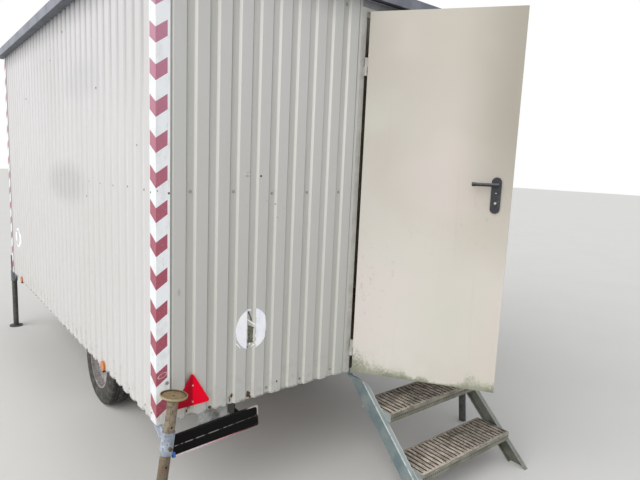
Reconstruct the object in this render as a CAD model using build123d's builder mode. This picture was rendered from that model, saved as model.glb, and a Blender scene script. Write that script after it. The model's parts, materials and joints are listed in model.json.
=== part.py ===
from build123d import *
import os
from math import ceil, cos, radians, sin, sqrt, tan

os.makedirs("parts", exist_ok=True)

# Portable site cabin on wheels, in millimetres, +Z up, with the ground at Z 0.
# The door end faces -Y and the drawbar points to +Y. The origin lies on the ground
# under the middle of the overall length and width.

# Body shell
body_width = 2160
body_length = 3750
wall_bottom = 580
wall_height = 2046

# Profiled wall sheets
rib_pitch = 106.5
rib_valley = 32
rib_web_run = 8
rib_depth = 10
sheet_thickness = 1
first_valley = 51
sheet_corner_gap = 14

# Insulated inner walls, floor and roof
panel_thickness = 40
floor_thickness = 22
roof_core = 46
roof_overhang = 55
fascia_height = 60
fascia_thickness = 2
roof_rib_pitch = 250
roof_rib_valley = 175
roof_rib_depth = 12

# Corner trims
trim_side_face = 70
trim_end_face = 60
trim_thickness = 1.5

# Chassis
sill_height = 80
sill_wall = 4
sill_raise = 5
rail_height = 100
rail_flange = 50
rail_wall = 5
rail_inset = 440
rail_setback = 40
joist_flange = 40
joist_wall = 3
joist_shares = [0.115, 0.221, 0.325, 0.531, 0.640, 0.760, 0.880]

# Drawbar
drawbar_reach = 1250
drawbar_tube_width = 50
drawbar_tube_wall = 4
drawbar_head_width = 130
drawbar_head_length = 190
drawbar_head_flare = 47.5
drawbar_plate = 8
drawbar_block_length = 70
eye_radius = 45
eye_bore_radius = 20
eye_thickness = 30
eye_chamfer = 6
eye_shank_radius = 14
eye_shank_length = 45

# Axle and wheels
wheel_place = 1600
tyre_radius = 310
tyre_width = 175
tyre_wall = 12
tyre_shoulder_half = 75
tyre_tread_half = 63
tyre_crown_half = 42
tyre_crown_drop = 3
tyre_shoulder_drop = 22
tread_groove_places = [21, 42]
tread_groove_width = 7
tread_groove_depth = 7
rim_radius = 178
rim_width = 150
rim_flange = 12
rim_thickness = 4
rim_disc_offset = 30
rim_disc_dish = 14
rim_disc_crown = 6
bead_gap = 0.3
wheel_recess = 190
hub_radius = 52
hub_cap_radius = 34
hub_cap_height = 18
stub_radius = 20
stub_clearance = 0.05
wheel_bolt_count = 5
wheel_bolt_circle = 42
wheel_bolt_radius = 8
wheel_bolt_height = 9
rim_vent_radius = 12
rim_vent_circle = 118
rim_vent_count = 8
axle_size = 70
axle_wall = 6
axle_pad = 12
axle_arm_offset = 110
axle_arm_thickness = 20
axle_arm_width = 70
axle_arm_gap = 15

# Corner props
prop_inset = 20
prop_outset = 68
prop_pivot_drop = 68
prop_lean = 8
prop_radius = 24
prop_wall = 4
prop_top = 150
prop_pin_radius = 5
prop_pin_clearance = 0.15
prop_pin_head_radius = 9
prop_pin_height = -70
prop_hole_pitch = 90
prop_hole_steps = [-2, -1, 0, 1]
sleeve_radius = 28.5
sleeve_clearance = 0.4
sleeve_top = -5
sleeve_bottom = -108
dish_radius = 60
dish_rim = 9
dish_thickness = 4
gusset_thickness = 6
gusset_reach = 90
gusset_tip = 28
bracket_plate_width = 42

# Doorway and door
door_inset = 231.5
hinge_out = 18
leaf_width = 780
leaf_height = 1975
leaf_thickness = 40
leaf_edge_radius = 2
leaf_raise = 9
leaf_proud = 22
leaf_setback = 10
leaf_gap = 5
door_open = 55
jamb_width = 34
jamb_proud = 2
stop_depth = 28
stop_lap = 15
threshold_height = 12
drip_reach = 35
drip_height = 38
drip_fall = 13
drip_thickness = 2

# Door hinges
barrel_radius = 8
barrel_height = 46
hinge_pin_radius = 4.5
hinge_pin_length = 34
hinge_clearance = 0.05
hinge_washer = 0.5
hinge_heights = [150, 1705]
barrel_tongue = 4

# Door furniture
lever_place = 702
lever_height = 1115
lever_length = 122
lever_radius = 9
lever_standoff = 46
lever_end_round = 3.6
spindle_radius = 7
spindle_clearance = 0.05
lock_plate_width = 49
lock_plate_above = 39
lock_plate_below = 146
lock_plate_thickness = 7
cylinder_drop = 93
cylinder_radius = 8.5
cylinder_proud = 5
lock_screw_radius = 4
lock_screw_drop = 42

# Stair
stair_offset = 61.5
stringer_slope = 43.2
stringer_web = 80
stringer_flange = 30
stringer_wall = 4
stringer_drop = 31
stringer_back = 26
stringer_mitre = 40
hook_thickness = 6
hook_reach = 40
hook_depth = 12
tread_count = 2
tread_width = 800
tread_drop = 158
tread_rise = 232
tread_depth = 225
tread_forward = 74
tread_thickness = 3
tread_lip = 50
slot_pitch = 32
slot_width = 11
slot_rows = 3
slot_bridge = 6
slot_margin = 14
slot_edge_depth = 10
slot_edge_thickness = 2
end_plate_back = 7
end_plate_round = 14

# Lights, reflectors and the plate carrier
triangle_side = 182
triangle_round = 9
triangle_depth = 9
triangle_chamfer = 2
triangle_x = 168
triangle_low = 52
side_reflector_radius = 28.5
side_reflector_depth = 12
side_reflector_insets = [766, 520]
side_reflector_height = 20
reflector_tab_width = 36
reflector_tab_thickness = 3
hanger_left = 204
hanger_width = 156
hanger_drop = 92
hanger_thickness = 3
hanger_flange = 34
carrier_left = 68
carrier_width = 465
carrier_height = 112
carrier_drop = 75
carrier_tilt = 3.6
carrier_thickness = 3
carrier_corner = 10
plate_height = 47
plate_margin = 6
plate_corner = 20
plate_gap = 0.5
pocket_depth = 2.5
plate_thickness = 1.5

# Places worked out from the sizes above
half_width = body_width / 2
wall_top = wall_bottom + wall_height
sheet_depth = rib_depth + sheet_thickness
stringer_angle = radians(stringer_slope)
stringer_top = wall_bottom - stringer_drop
stringer_cut = stringer_web / sin(stringer_angle)
stair_foot_reach = stringer_cut + stringer_top / tan(stringer_angle) - stringer_back
overall_length = stair_foot_reach + body_length + drawbar_reach + eye_radius
door_end = stair_foot_reach - overall_length / 2
drawbar_end = door_end + body_length
body_middle = Plane(origin=(0, (door_end + drawbar_end) / 2, 0), z_dir=(0, 1, 0))

sill_bottom = wall_bottom + sill_raise
sill_top = sill_bottom + sill_height
floor_top = sill_top + floor_thickness
inner_half = half_width - sheet_depth - panel_thickness

leaf_lock_edge = half_width - door_inset
leaf_hinge_edge = leaf_lock_edge - leaf_width
hinge_side = leaf_hinge_edge - leaf_setback
hinge_y = door_end - hinge_out
leaf_bottom = wall_bottom + leaf_raise
leaf_top = leaf_bottom + leaf_height
jamb_inner_left = leaf_hinge_edge - leaf_gap
jamb_inner_right = leaf_lock_edge + leaf_gap
door_frame_left = jamb_inner_left - jamb_width
door_frame_right = jamb_inner_right + jamb_width
door_middle = (leaf_hinge_edge + leaf_lock_edge) / 2
frame_front = door_end - jamb_proud
frame_back = door_end + sheet_depth + panel_thickness
stop_face = frame_back - stop_depth
rail_spacing = body_width - 2 * rail_inset


def save(piece, node):
    """Label a finished sub-part and write it as one STEP file."""
    piece.part.label = node
    export_step(piece.part, f"parts/{node}.step")


def block(low, high):
    """A plain block between two opposite corners."""
    size = [top - bottom for bottom, top in zip(low, high)]
    with BuildPart(Plane(origin=low)) as piece:
        Box(*size, align=(Align.MIN, Align.MIN, Align.MIN))
    return piece


def channel(plane, height, flange, wall, length):
    """A rolled channel: its web lies on the plane's Y axis, its flanges point along the plane's X."""
    with BuildPart() as piece:
        with BuildSketch(plane):
            Rectangle(flange, height, align=(Align.MIN, Align.MIN))
            with Locations((wall, wall)):
                Rectangle(
                    flange - wall, height - 2 * wall, align=(Align.MIN, Align.MIN), mode=Mode.SUBTRACT
                )
        extrude(amount=length)
    return piece


def rib_line(run, valley_centre, pitch, valley, web_run, depth):
    """Corners of a profiled sheet's face: X along the wall, Y outwards from the valleys."""
    points = [(0, depth)]
    centre = valley_centre
    while centre + valley / 2 + web_run < run:
        points += [
            (centre - valley / 2 - web_run, depth),
            (centre - valley / 2, 0),
            (centre + valley / 2, 0),
            (centre + valley / 2 + web_run, depth),
        ]
        centre += pitch
    return points + [(run, depth)]


def profiled_sheet(plane, face, length):
    """A thin sheet with the given face line, run along the plane's normal."""
    back = [(x, y - sheet_thickness) for x, y in reversed(face)]
    with BuildPart() as piece:
        with BuildSketch(plane):
            with BuildLine():
                Polyline(*face, *back, close=True)
            make_face()
        extrude(amount=length)
    return piece


def wall_face(run, start):
    """The face line of a wall sheet that starts at a distance from the body's corner, with whole valleys."""
    skipped = ceil((start + rib_valley / 2 + rib_web_run - first_valley) / rib_pitch)
    valley_centre = first_valley + max(skipped, 0) * rib_pitch - start
    return rib_line(run, valley_centre, rib_pitch, rib_valley, rib_web_run, rib_depth)


def door_end_strip(left, right):
    """A piece of the door end's sheet between two places across the body."""
    top_edge = Plane(origin=(left, door_end + rib_depth, wall_top), x_dir=(1, 0, 0), z_dir=(0, 0, -1))
    return profiled_sheet(top_edge, wall_face(right - left, left + half_width), wall_height)


# Outer wall sheets. The side sheets run the whole length, the end sheets stand between them.
left_side_sheet = profiled_sheet(
    Plane(origin=(rib_depth - half_width, door_end, wall_bottom), x_dir=(0, 1, 0), z_dir=(0, 0, 1)),
    wall_face(body_length, 0),
    wall_height,
)
save(left_side_sheet, "left_side_sheet")

with BuildPart() as right_side_sheet:
    mirror(left_side_sheet.part, about=Plane.YZ)
save(right_side_sheet, "right_side_sheet")

with BuildPart() as door_end_sheet:
    add(door_end_strip(sheet_corner_gap - half_width, door_frame_left).part)
    add(door_end_strip(door_frame_right, half_width - sheet_corner_gap).part)
save(door_end_sheet, "door_end_sheet")

drawbar_end_sheet = profiled_sheet(
    Plane(
        origin=(sheet_corner_gap - half_width, drawbar_end - rib_depth, wall_bottom),
        x_dir=(1, 0, 0),
        z_dir=(0, 0, 1),
    ),
    wall_face(body_width - 2 * sheet_corner_gap, sheet_corner_gap),
    wall_height,
)
save(drawbar_end_sheet, "drawbar_end_sheet")

# Insulated inner walls behind the sheets, standing on the sills.
left_wall_panel = block(
    (sheet_depth - half_width, door_end + sheet_depth, sill_top),
    (-inner_half, drawbar_end - sheet_depth, wall_top),
)
save(left_wall_panel, "left_wall_panel")

with BuildPart() as right_wall_panel:
    mirror(left_wall_panel.part, about=Plane.YZ)
save(right_wall_panel, "right_wall_panel")

with BuildPart() as door_end_panel:
    for left, right in ((-inner_half, door_frame_left), (door_frame_right, inner_half)):
        panel_low = (left, door_end + sheet_depth, sill_top)
        panel_high = (right, door_end + sheet_depth + panel_thickness, wall_top)
        add(block(panel_low, panel_high).part)
save(door_end_panel, "door_end_panel")

drawbar_end_panel = block(
    (-inner_half, drawbar_end - sheet_depth - panel_thickness, sill_top),
    (inner_half, drawbar_end - sheet_depth, wall_top),
)
save(drawbar_end_panel, "drawbar_end_panel")

# Folded angles over the four corners.
with BuildPart() as corner_trims:
    with BuildSketch(Plane.XY.offset(wall_bottom)):
        with BuildLine():
            Polyline(
                (-half_width - trim_thickness, door_end - trim_thickness),
                (trim_end_face - half_width, door_end - trim_thickness),
                (trim_end_face - half_width, door_end),
                (-half_width, door_end),
                (-half_width, door_end + trim_side_face),
                (-half_width - trim_thickness, door_end + trim_side_face),
                close=True,
            )
        make_face()
    extrude(amount=wall_height)
    mirror(about=Plane.YZ)
    mirror(about=body_middle)
save(corner_trims, "corner_trims")

# Sills round the floor, set just inside the sheets. The end sills keep clear of the closed leaf.
sill_face = half_width - sheet_depth
left_sill = channel(
    Plane(origin=(-sill_face, drawbar_end - sheet_depth, sill_bottom), x_dir=(1, 0, 0), z_dir=(0, -1, 0)),
    sill_height,
    panel_thickness,
    sill_wall,
    body_length - 2 * sheet_depth,
)
with BuildPart() as side_sills:
    add(left_sill.part)
    mirror(about=Plane.YZ)
save(side_sills, "side_sills")

door_end_sill = channel(
    Plane(origin=(-inner_half, stop_face, sill_bottom), x_dir=(0, 1, 0), z_dir=(1, 0, 0)),
    sill_height,
    stop_depth,
    sill_wall,
    2 * inner_half,
)
with BuildPart() as end_sills:
    add(door_end_sill.part)
    mirror(about=body_middle)
save(end_sills, "end_sills")

# Floor joists between the side sills, clear of the wheels.
with BuildPart() as floor_joists:
    for share in joist_shares:
        joist_start = (-inner_half, door_end + share * body_length, sill_bottom)
        joist = channel(
            Plane(origin=joist_start, x_dir=(0, 1, 0), z_dir=(1, 0, 0)),
            sill_height,
            joist_flange,
            joist_wall,
            2 * inner_half,
        )
        add(joist.part)
save(floor_joists, "floor_joists")

floor_panel = block(
    (-inner_half, door_end + sheet_depth + panel_thickness, sill_top),
    (inner_half, drawbar_end - sheet_depth - panel_thickness, floor_top),
)
save(floor_panel, "floor_panel")

# Long chassis rails under the joists, with their open sides inwards.
rail_face = rail_spacing / 2 + rail_flange / 2
rail_bottom = sill_bottom - rail_height
rail_end = drawbar_end - rail_setback
left_rail = channel(
    Plane(origin=(-rail_face, rail_end, rail_bottom), x_dir=(1, 0, 0), z_dir=(0, -1, 0)),
    rail_height,
    rail_flange,
    rail_wall,
    body_length - 2 * rail_setback,
)
with BuildPart() as chassis_rails:
    add(left_rail.part)
    mirror(about=Plane.YZ)
save(chassis_rails, "chassis_rails")

# Drawbar: two square tubes run from the rail ends to a plated head with a towing eye.
eye_y = drawbar_end + drawbar_reach
drawbar_z = rail_bottom + rail_height / 2
head_back = eye_y - eye_radius - eye_shank_length - drawbar_head_length
block_back = head_back + drawbar_head_length - drawbar_block_length
arm_height = rail_height - 2 * drawbar_plate
arm_start = Vector(-rail_spacing / 2, rail_end, drawbar_z)
arm_finish = Vector(-drawbar_tube_width / 2 - drawbar_plate, block_back, drawbar_z)
arm_run = arm_finish - arm_start
arm_spare = 2 * drawbar_tube_width
with BuildPart() as drawbar_arms:
    arm_before = arm_start - arm_run.normalized() * arm_spare
    with BuildSketch(Plane(origin=arm_before, x_dir=(0, 0, 1), z_dir=arm_run)):
        Rectangle(arm_height, drawbar_tube_width)
        offset(amount=-drawbar_tube_wall, mode=Mode.SUBTRACT)
    extrude(amount=arm_run.length + 2 * arm_spare)
    split(bisect_by=Plane(origin=arm_start, z_dir=(0, 1, 0)), keep=Keep.TOP)
    split(bisect_by=Plane(origin=arm_finish, z_dir=(0, 1, 0)), keep=Keep.BOTTOM)
    split(bisect_by=Plane(origin=(-drawbar_plate / 2, 0, 0), z_dir=(1, 0, 0)), keep=Keep.BOTTOM)
    mirror(about=Plane.YZ)
save(drawbar_arms, "drawbar_arms")

with BuildPart() as drawbar_head:
    head_back_half = drawbar_head_width / 2 + drawbar_head_flare
    with BuildSketch(Plane.XY.offset(rail_bottom)):
        with BuildLine():
            Polyline(
                (-head_back_half, head_back),
                (head_back_half, head_back),
                (drawbar_head_width / 2, block_back),
                (drawbar_head_width / 2, head_back + drawbar_head_length),
                (-drawbar_head_width / 2, head_back + drawbar_head_length),
                (-drawbar_head_width / 2, block_back),
                close=True,
            )
        make_face()
    extrude(amount=drawbar_plate)
    mirror(about=Plane.XY.offset(drawbar_z))
    with BuildSketch(Plane.XY.offset(rail_bottom + drawbar_plate)):
        with Locations((0, block_back)):
            Rectangle(drawbar_head_width, drawbar_block_length, align=(Align.CENTER, Align.MIN))
    extrude(amount=arm_height)
save(drawbar_head, "drawbar_head")

with BuildPart() as tow_eye:
    with BuildSketch(Plane.XY.offset(drawbar_z - eye_thickness / 2)):
        with Locations((0, eye_y)):
            Circle(eye_radius)
            Circle(eye_bore_radius, mode=Mode.SUBTRACT)
    extrude(amount=eye_thickness)
    chamfer(tow_eye.edges().filter_by(GeomType.CIRCLE).sort_by(SortBy.RADIUS)[-2:], length=eye_chamfer)
    shank_face = Plane(origin=(0, head_back + drawbar_head_length, drawbar_z), z_dir=(0, 1, 0))
    with BuildSketch(shank_face):
        Circle(eye_shank_radius)
    extrude(amount=eye_shank_length + (eye_radius - eye_bore_radius) / 2)
save(tow_eye, "tow_eye")

# Rubber-sprung axle: a square beam under the rails, trailing arms and wheel stubs.
wheel_y = door_end + wheel_place
wheel_z = tyre_radius
tyre_inner = half_width - wheel_recess - tyre_width
wheel_middle = tyre_inner + tyre_width / 2
arm_outer = tyre_inner - axle_arm_gap
arm_inner = arm_outer - axle_arm_thickness
beam_y = wheel_y + axle_arm_offset
beam_z = rail_bottom - axle_pad - axle_size / 2
hub_inner = wheel_middle - rim_width / 2 + rim_flange
hub_outer = wheel_middle + rim_disc_offset + rim_flange
with BuildPart() as axle:
    with BuildSketch(Plane(origin=(-arm_inner, beam_y, beam_z), x_dir=(0, 1, 0), z_dir=(1, 0, 0))):
        Rectangle(axle_size, axle_size)
        offset(amount=-axle_wall, mode=Mode.SUBTRACT)
    extrude(amount=2 * arm_inner)
    with BuildSketch(Plane.XY.offset(rail_bottom - axle_pad)):
        with Locations((-rail_spacing / 2, beam_y), (rail_spacing / 2, beam_y)):
            Rectangle(rail_flange, axle_size)
    extrude(amount=axle_pad)
    with BuildSketch(Plane(origin=(arm_inner, 0, 0), x_dir=(0, 1, 0), z_dir=(1, 0, 0))):
        SlotCenterPoint(
            center=((wheel_y + beam_y) / 2, (wheel_z + beam_z) / 2),
            point=(wheel_y, wheel_z),
            height=axle_arm_width,
        )
    extrude(amount=axle_arm_thickness)
    with BuildSketch(Plane(origin=(arm_outer, wheel_y, wheel_z), x_dir=(0, 1, 0), z_dir=(1, 0, 0))):
        Circle(stub_radius)
    extrude(amount=hub_outer - rim_flange / 2 - arm_outer)
    mirror(about=Plane.YZ)
save(axle, "axle")

# Wheels, turned about the stub's axis. The section's X is the distance from the wheel's
# middle plane, outwards, and its Y the radius.
wheel_section = Plane(origin=(wheel_middle, wheel_y, wheel_z), x_dir=(1, 0, 0), z_dir=(0, -1, 0))
wheel_axis = Axis((0, wheel_y, wheel_z), (1, 0, 0))
bead_radius = rim_radius + rim_thickness + bead_gap
bead_half = rim_width / 2 - rim_thickness - bead_gap
bead_top = rim_radius + rim_flange + bead_gap
shoulder = tyre_radius - tyre_shoulder_drop
belly = (tyre_radius + rim_radius) / 2
with BuildPart() as right_tyre:
    with BuildSketch(wheel_section):
        with BuildLine():
            Line((bead_half, bead_radius), (bead_half, bead_top))
            ThreePointArc((bead_half, bead_top), (tyre_width / 2, belly), (tyre_shoulder_half, shoulder))
            Polyline(
                (tyre_shoulder_half, shoulder),
                (tyre_tread_half, tyre_radius - tyre_crown_drop),
                (tyre_crown_half, tyre_radius),
                (0, tyre_radius),
                (0, tyre_radius - tyre_wall),
                (tyre_tread_half, tyre_radius - tyre_wall - tyre_crown_drop),
            )
            Polyline(
                (tyre_tread_half, tyre_radius - tyre_wall - tyre_crown_drop),
                (tyre_width / 2 - tyre_wall, belly),
                (bead_half - tyre_wall, bead_radius),
                (bead_half, bead_radius),
            )
        make_face()
        with Locations([(place, tyre_radius) for place in tread_groove_places]):
            Rectangle(tread_groove_width, 2 * tread_groove_depth, mode=Mode.SUBTRACT)
        mirror(about=Plane.YZ)
    revolve(axis=wheel_axis)
save(right_tyre, "right_tyre")

disc_face = [
    (rim_disc_offset, rim_radius),
    (rim_disc_offset - rim_disc_dish, rim_vent_circle + 2 * rim_vent_radius),
    (rim_disc_offset + rim_disc_crown, rim_vent_circle - 2 * rim_vent_radius),
    (rim_disc_offset - rim_thickness, hub_radius + rim_vent_radius),
    (rim_disc_offset - rim_thickness, hub_radius - rim_thickness),
]
disc_back = [(offset_out - rim_thickness, radius) for offset_out, radius in reversed(disc_face)]
with BuildPart() as right_rim:
    with BuildSketch(wheel_section):
        with BuildLine():
            Polyline(
                (rim_width / 2, rim_radius + rim_flange),
                (rim_width / 2 - rim_thickness, rim_radius + rim_flange),
                (rim_width / 2 - rim_thickness, rim_radius + rim_thickness),
                (0, rim_radius + rim_thickness),
                (0, rim_radius),
                (rim_width / 2, rim_radius),
                close=True,
            )
        make_face()
        mirror(about=Plane.YZ)
        with BuildLine():
            Polyline(*disc_face, *disc_back, close=True)
        make_face()
        with Locations((hub_inner - wheel_middle, 0)):
            Rectangle(hub_outer - hub_inner, hub_radius, align=(Align.MIN, Align.MIN))
        with Locations((hub_outer - wheel_middle, 0)):
            Rectangle(hub_cap_height, hub_cap_radius, align=(Align.MIN, Align.MIN))
        with Locations((hub_inner - wheel_middle, 0)):
            Rectangle(
                hub_outer - hub_inner,
                stub_radius + stub_clearance,
                align=(Align.MIN, Align.MIN),
                mode=Mode.SUBTRACT,
            )
    revolve(axis=wheel_axis)
    hub_face = Plane(origin=(hub_outer, wheel_y, wheel_z), x_dir=(0, 1, 0), z_dir=(1, 0, 0))
    with BuildSketch(hub_face):
        with PolarLocations(wheel_bolt_circle, wheel_bolt_count):
            RegularPolygon(wheel_bolt_radius, 6)
    extrude(amount=wheel_bolt_height)
    with BuildSketch(hub_face):
        with PolarLocations(rim_vent_circle, rim_vent_count):
            Circle(rim_vent_radius)
    extrude(amount=-(hub_outer - wheel_middle + rim_disc_offset), mode=Mode.SUBTRACT)
save(right_rim, "right_rim")

with BuildPart() as left_tyre:
    mirror(right_tyre.part, about=Plane.YZ)
save(left_tyre, "left_tyre")

with BuildPart() as left_rim:
    mirror(right_rim.part, about=Plane.YZ)
save(left_rim, "left_rim")

# Roof: an insulated core on the walls, a profiled top sheet and a folded fascia round the overhang.
fascia_half = half_width + roof_overhang
fascia_door_end = door_end - roof_overhang
fascia_drawbar_end = drawbar_end + roof_overhang
roof_core_half = fascia_half - fascia_thickness
roof_panel = block(
    (-roof_core_half, fascia_door_end + fascia_thickness, wall_top),
    (roof_core_half, fascia_drawbar_end - fascia_thickness, wall_top + roof_core),
)
save(roof_panel, "roof_panel")

roof_top = wall_top + roof_core
roof_rib_run = (2 * roof_core_half // roof_rib_pitch - 1) * roof_rib_pitch
roof_sheet = profiled_sheet(
    Plane(
        origin=(roof_core_half, fascia_door_end + fascia_thickness, roof_top + sheet_thickness),
        x_dir=(-1, 0, 0),
        z_dir=(0, 1, 0),
    ),
    rib_line(
        2 * roof_core_half,
        roof_core_half - roof_rib_run / 2,
        roof_rib_pitch,
        roof_rib_valley,
        rib_web_run,
        roof_rib_depth,
    ),
    body_length + 2 * roof_overhang - 2 * fascia_thickness,
)
save(roof_sheet, "roof_sheet")

with BuildPart() as roof_fascia:
    with BuildSketch(Plane(origin=(0, (door_end + drawbar_end) / 2, wall_top))):
        Rectangle(2 * fascia_half, body_length + 2 * roof_overhang)
        offset(amount=-fascia_thickness, kind=Kind.INTERSECTION, mode=Mode.SUBTRACT)
    extrude(amount=fascia_height)
save(roof_fascia, "roof_fascia")

# Corner props, modelled at the door end's left corner and mirrored to the others.
prop_x = prop_inset - half_width
prop_y = door_end - prop_outset


def prop_plane(lean):
    """The prop's own frame: Z along the tube, leaning sideways about a point under the wall."""
    lean_angle = radians(lean)
    return Plane(
        origin=(prop_x, prop_y, wall_bottom - prop_pivot_drop),
        x_dir=(cos(lean_angle), 0, -sin(lean_angle)),
        z_dir=(sin(lean_angle), 0, cos(lean_angle)),
    )


def along_prop(lean, height):
    """The prop's frame moved along the tube to a height above the wall's bottom edge."""
    return prop_plane(lean).offset((height + prop_pivot_drop) / cos(radians(lean)))


def prop_bracket(lean):
    """A bored sleeve with a gusset that runs back under the sill, and a bolting plate."""
    with BuildPart() as piece:
        with BuildSketch(along_prop(lean, sleeve_bottom)):
            Circle(sleeve_radius)
        extrude(amount=sleeve_top - sleeve_bottom)
        gusset_plane = Plane(
            origin=(prop_x - gusset_thickness / 2, prop_y, wall_bottom), x_dir=(0, 1, 0), z_dir=(1, 0, 0)
        )
        with BuildSketch(gusset_plane):
            with BuildLine():
                Polyline(
                    (0, sleeve_top - gusset_thickness),
                    (0, sleeve_bottom + gusset_tip / 2),
                    (sleeve_radius, sleeve_bottom + gusset_tip / 2),
                    (prop_outset + gusset_reach, sleeve_top - gusset_tip),
                    (prop_outset + gusset_reach, sleeve_top),
                    (prop_outset + sheet_depth, sleeve_top),
                    (sleeve_radius, sleeve_top - gusset_thickness),
                    close=True,
                )
            make_face()
        extrude(amount=gusset_thickness)
        plate_corner = (sheet_depth - half_width, door_end + sheet_depth)
        with BuildSketch(Plane.XY.offset(wall_bottom + sleeve_top)):
            with Locations(plate_corner):
                Rectangle(
                    bracket_plate_width, gusset_reach - sheet_depth, align=(Align.MIN, Align.MIN)
                )
        extrude(amount=sill_raise - sleeve_top)
        with BuildSketch(along_prop(lean, sleeve_bottom)):
            Circle(prop_radius + sleeve_clearance)
        extrude(amount=sleeve_top - sleeve_bottom, mode=Mode.SUBTRACT)
        with BuildSketch(pin_plane(lean)):
            Circle(prop_pin_radius + prop_pin_clearance)
        extrude(amount=2 * sleeve_radius, both=True, mode=Mode.SUBTRACT)
    return piece


def pin_plane(lean):
    """Where the locking pin crosses the sleeve, in the direction of the body's length."""
    return Plane(origin=along_prop(lean, prop_pin_height).origin, x_dir=(1, 0, 0), z_dir=(0, 1, 0))


def prop_leg(lean, dish_up):
    """A drilled tube with a pressed dish foot, on the ground or turned upside down."""
    foot = along_prop(lean, prop_top) if dish_up else along_prop(lean, dish_rim - wall_bottom)
    outwards = 1 if dish_up else -1
    tube_low = along_prop(lean, -wall_bottom - prop_radius) if dish_up else foot
    tube_high = foot if dish_up else along_prop(lean, prop_top)
    with BuildPart() as piece:
        with BuildSketch(tube_low):
            Circle(prop_radius)
            Circle(prop_radius - prop_wall, mode=Mode.SUBTRACT)
        extrude(amount=(tube_high.origin - tube_low.origin).length)
        with BuildSketch(foot):
            Circle(dish_radius)
        extrude(amount=outwards * dish_rim)
        with BuildSketch(foot.offset(outwards * dish_thickness)):
            Circle(dish_radius - dish_thickness)
        extrude(amount=outwards * (dish_rim - dish_thickness), mode=Mode.SUBTRACT)
        split(bisect_by=Plane.XY, keep=Keep.TOP)
        for step in prop_hole_steps:
            hole = pin_plane(lean).origin + prop_plane(lean).z_dir * step * prop_hole_pitch
            with BuildSketch(Plane(origin=hole, x_dir=(1, 0, 0), z_dir=(0, 1, 0))):
                Circle(prop_pin_radius + prop_pin_clearance)
            extrude(amount=2 * prop_radius, both=True, mode=Mode.SUBTRACT)
    return piece


def prop_pin(lean):
    """A headed locking pin through the sleeve and the tube."""
    pin_reach = sleeve_radius + 2 * prop_pin_radius
    with BuildPart() as piece:
        with BuildSketch(pin_plane(lean)):
            Circle(prop_pin_radius)
        extrude(amount=pin_reach, both=True)
        with BuildSketch(pin_plane(lean).offset(-pin_reach)):
            Circle(prop_pin_head_radius)
        extrude(amount=-prop_pin_radius)
    return piece


def drawbar_end_copy(upright):
    """The upright model of a corner piece, moved to the drawbar end."""
    return upright.part.mirror(body_middle)


# The pair at the door end leans outwards and stands on its bare tubes, with the dishes on top.
with BuildPart() as prop_brackets:
    add(prop_bracket(prop_lean).part)
    add(drawbar_end_copy(prop_bracket(0)))
    mirror(about=Plane.YZ)
save(prop_brackets, "prop_brackets")

with BuildPart() as prop_pins:
    add(prop_pin(prop_lean).part)
    add(drawbar_end_copy(prop_pin(0)))
    mirror(about=Plane.YZ)
save(prop_pins, "prop_pins")

with BuildPart() as prop_legs:
    add(prop_leg(prop_lean, True).part)
    add(drawbar_end_copy(prop_leg(0, False)))
    mirror(about=Plane.YZ)
save(prop_legs, "prop_legs")

# Steel door frame: two jambs, a head and a threshold, with a stop behind the leaf.
frame_z_dir = (0, -1, 0)
head_bottom = leaf_top + leaf_gap
jamb_places = [(door_frame_left, jamb_width), (jamb_inner_right, jamb_width)]
with BuildPart() as door_frame:
    with BuildSketch(Plane(origin=(0, frame_back, 0), x_dir=(1, 0, 0), z_dir=frame_z_dir)):
        with Locations((door_frame_left, sill_top)):
            frame_width = door_frame_right - door_frame_left
            Rectangle(frame_width, wall_top - sill_top, align=(Align.MIN, Align.MIN))
        with Locations((jamb_inner_left + leaf_gap + stop_lap, floor_top + threshold_height)):
            Rectangle(
                leaf_width - 2 * stop_lap,
                leaf_top - stop_lap - floor_top - threshold_height,
                align=(Align.MIN, Align.MIN),
                mode=Mode.SUBTRACT,
            )
    extrude(amount=frame_back - stop_face)
    with BuildSketch(Plane(origin=(0, stop_face, 0), x_dir=(1, 0, 0), z_dir=frame_z_dir)):
        for left, width in jamb_places:
            with Locations((left, sill_top)):
                Rectangle(width, wall_top - sill_top, align=(Align.MIN, Align.MIN))
        head_width = jamb_inner_right - jamb_inner_left
        with Locations((jamb_inner_left, head_bottom)):
            Rectangle(head_width, wall_top - head_bottom, align=(Align.MIN, Align.MIN))
    extrude(amount=stop_face - frame_front)
    with BuildSketch(Plane(origin=(0, door_end + sheet_depth, 0), x_dir=(1, 0, 0), z_dir=frame_z_dir)):
        for left, width in jamb_places:
            with Locations((left, wall_bottom)):
                Rectangle(width, sill_top - wall_bottom, align=(Align.MIN, Align.MIN))
    extrude(amount=sheet_depth + jamb_proud)
save(door_frame, "door_frame")

# Folded drip rail over the doorway.
with BuildPart() as drip_rail:
    drip_plane = Plane(
        origin=(door_frame_left, frame_front, wall_top), x_dir=(0, -1, 0), z_dir=(1, 0, 0)
    )
    with BuildSketch(drip_plane):
        with BuildLine():
            Polyline(
                (0, 0),
                (0, drip_height),
                (drip_thickness, drip_height),
                (drip_thickness, drip_thickness * 2),
                (drip_reach, drip_fall),
                (drip_reach, drip_fall - drip_thickness),
                (drip_thickness, 0),
                close=True,
            )
        make_face()
    extrude(amount=door_frame_right - door_frame_left)
save(drip_rail, "drip_rail")

# Door leaf and all that rides on it, drawn in the leaf's own frame at the pivot: X along the leaf,
# Y towards the room, turned open.
open_angle = radians(door_open)
leaf_x_dir = Vector(cos(open_angle), -sin(open_angle), 0)
leaf_y_dir = Vector(sin(open_angle), cos(open_angle), 0)
pivot = Vector(hinge_side, hinge_y, 0)
leaf_outer = hinge_out - leaf_proud
leaf_inner = leaf_outer + leaf_thickness


def leaf_plane(height):
    """A level plane in the leaf's frame."""
    return Plane(origin=pivot + Vector(0, 0, height), x_dir=leaf_x_dir, z_dir=(0, 0, 1))


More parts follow.
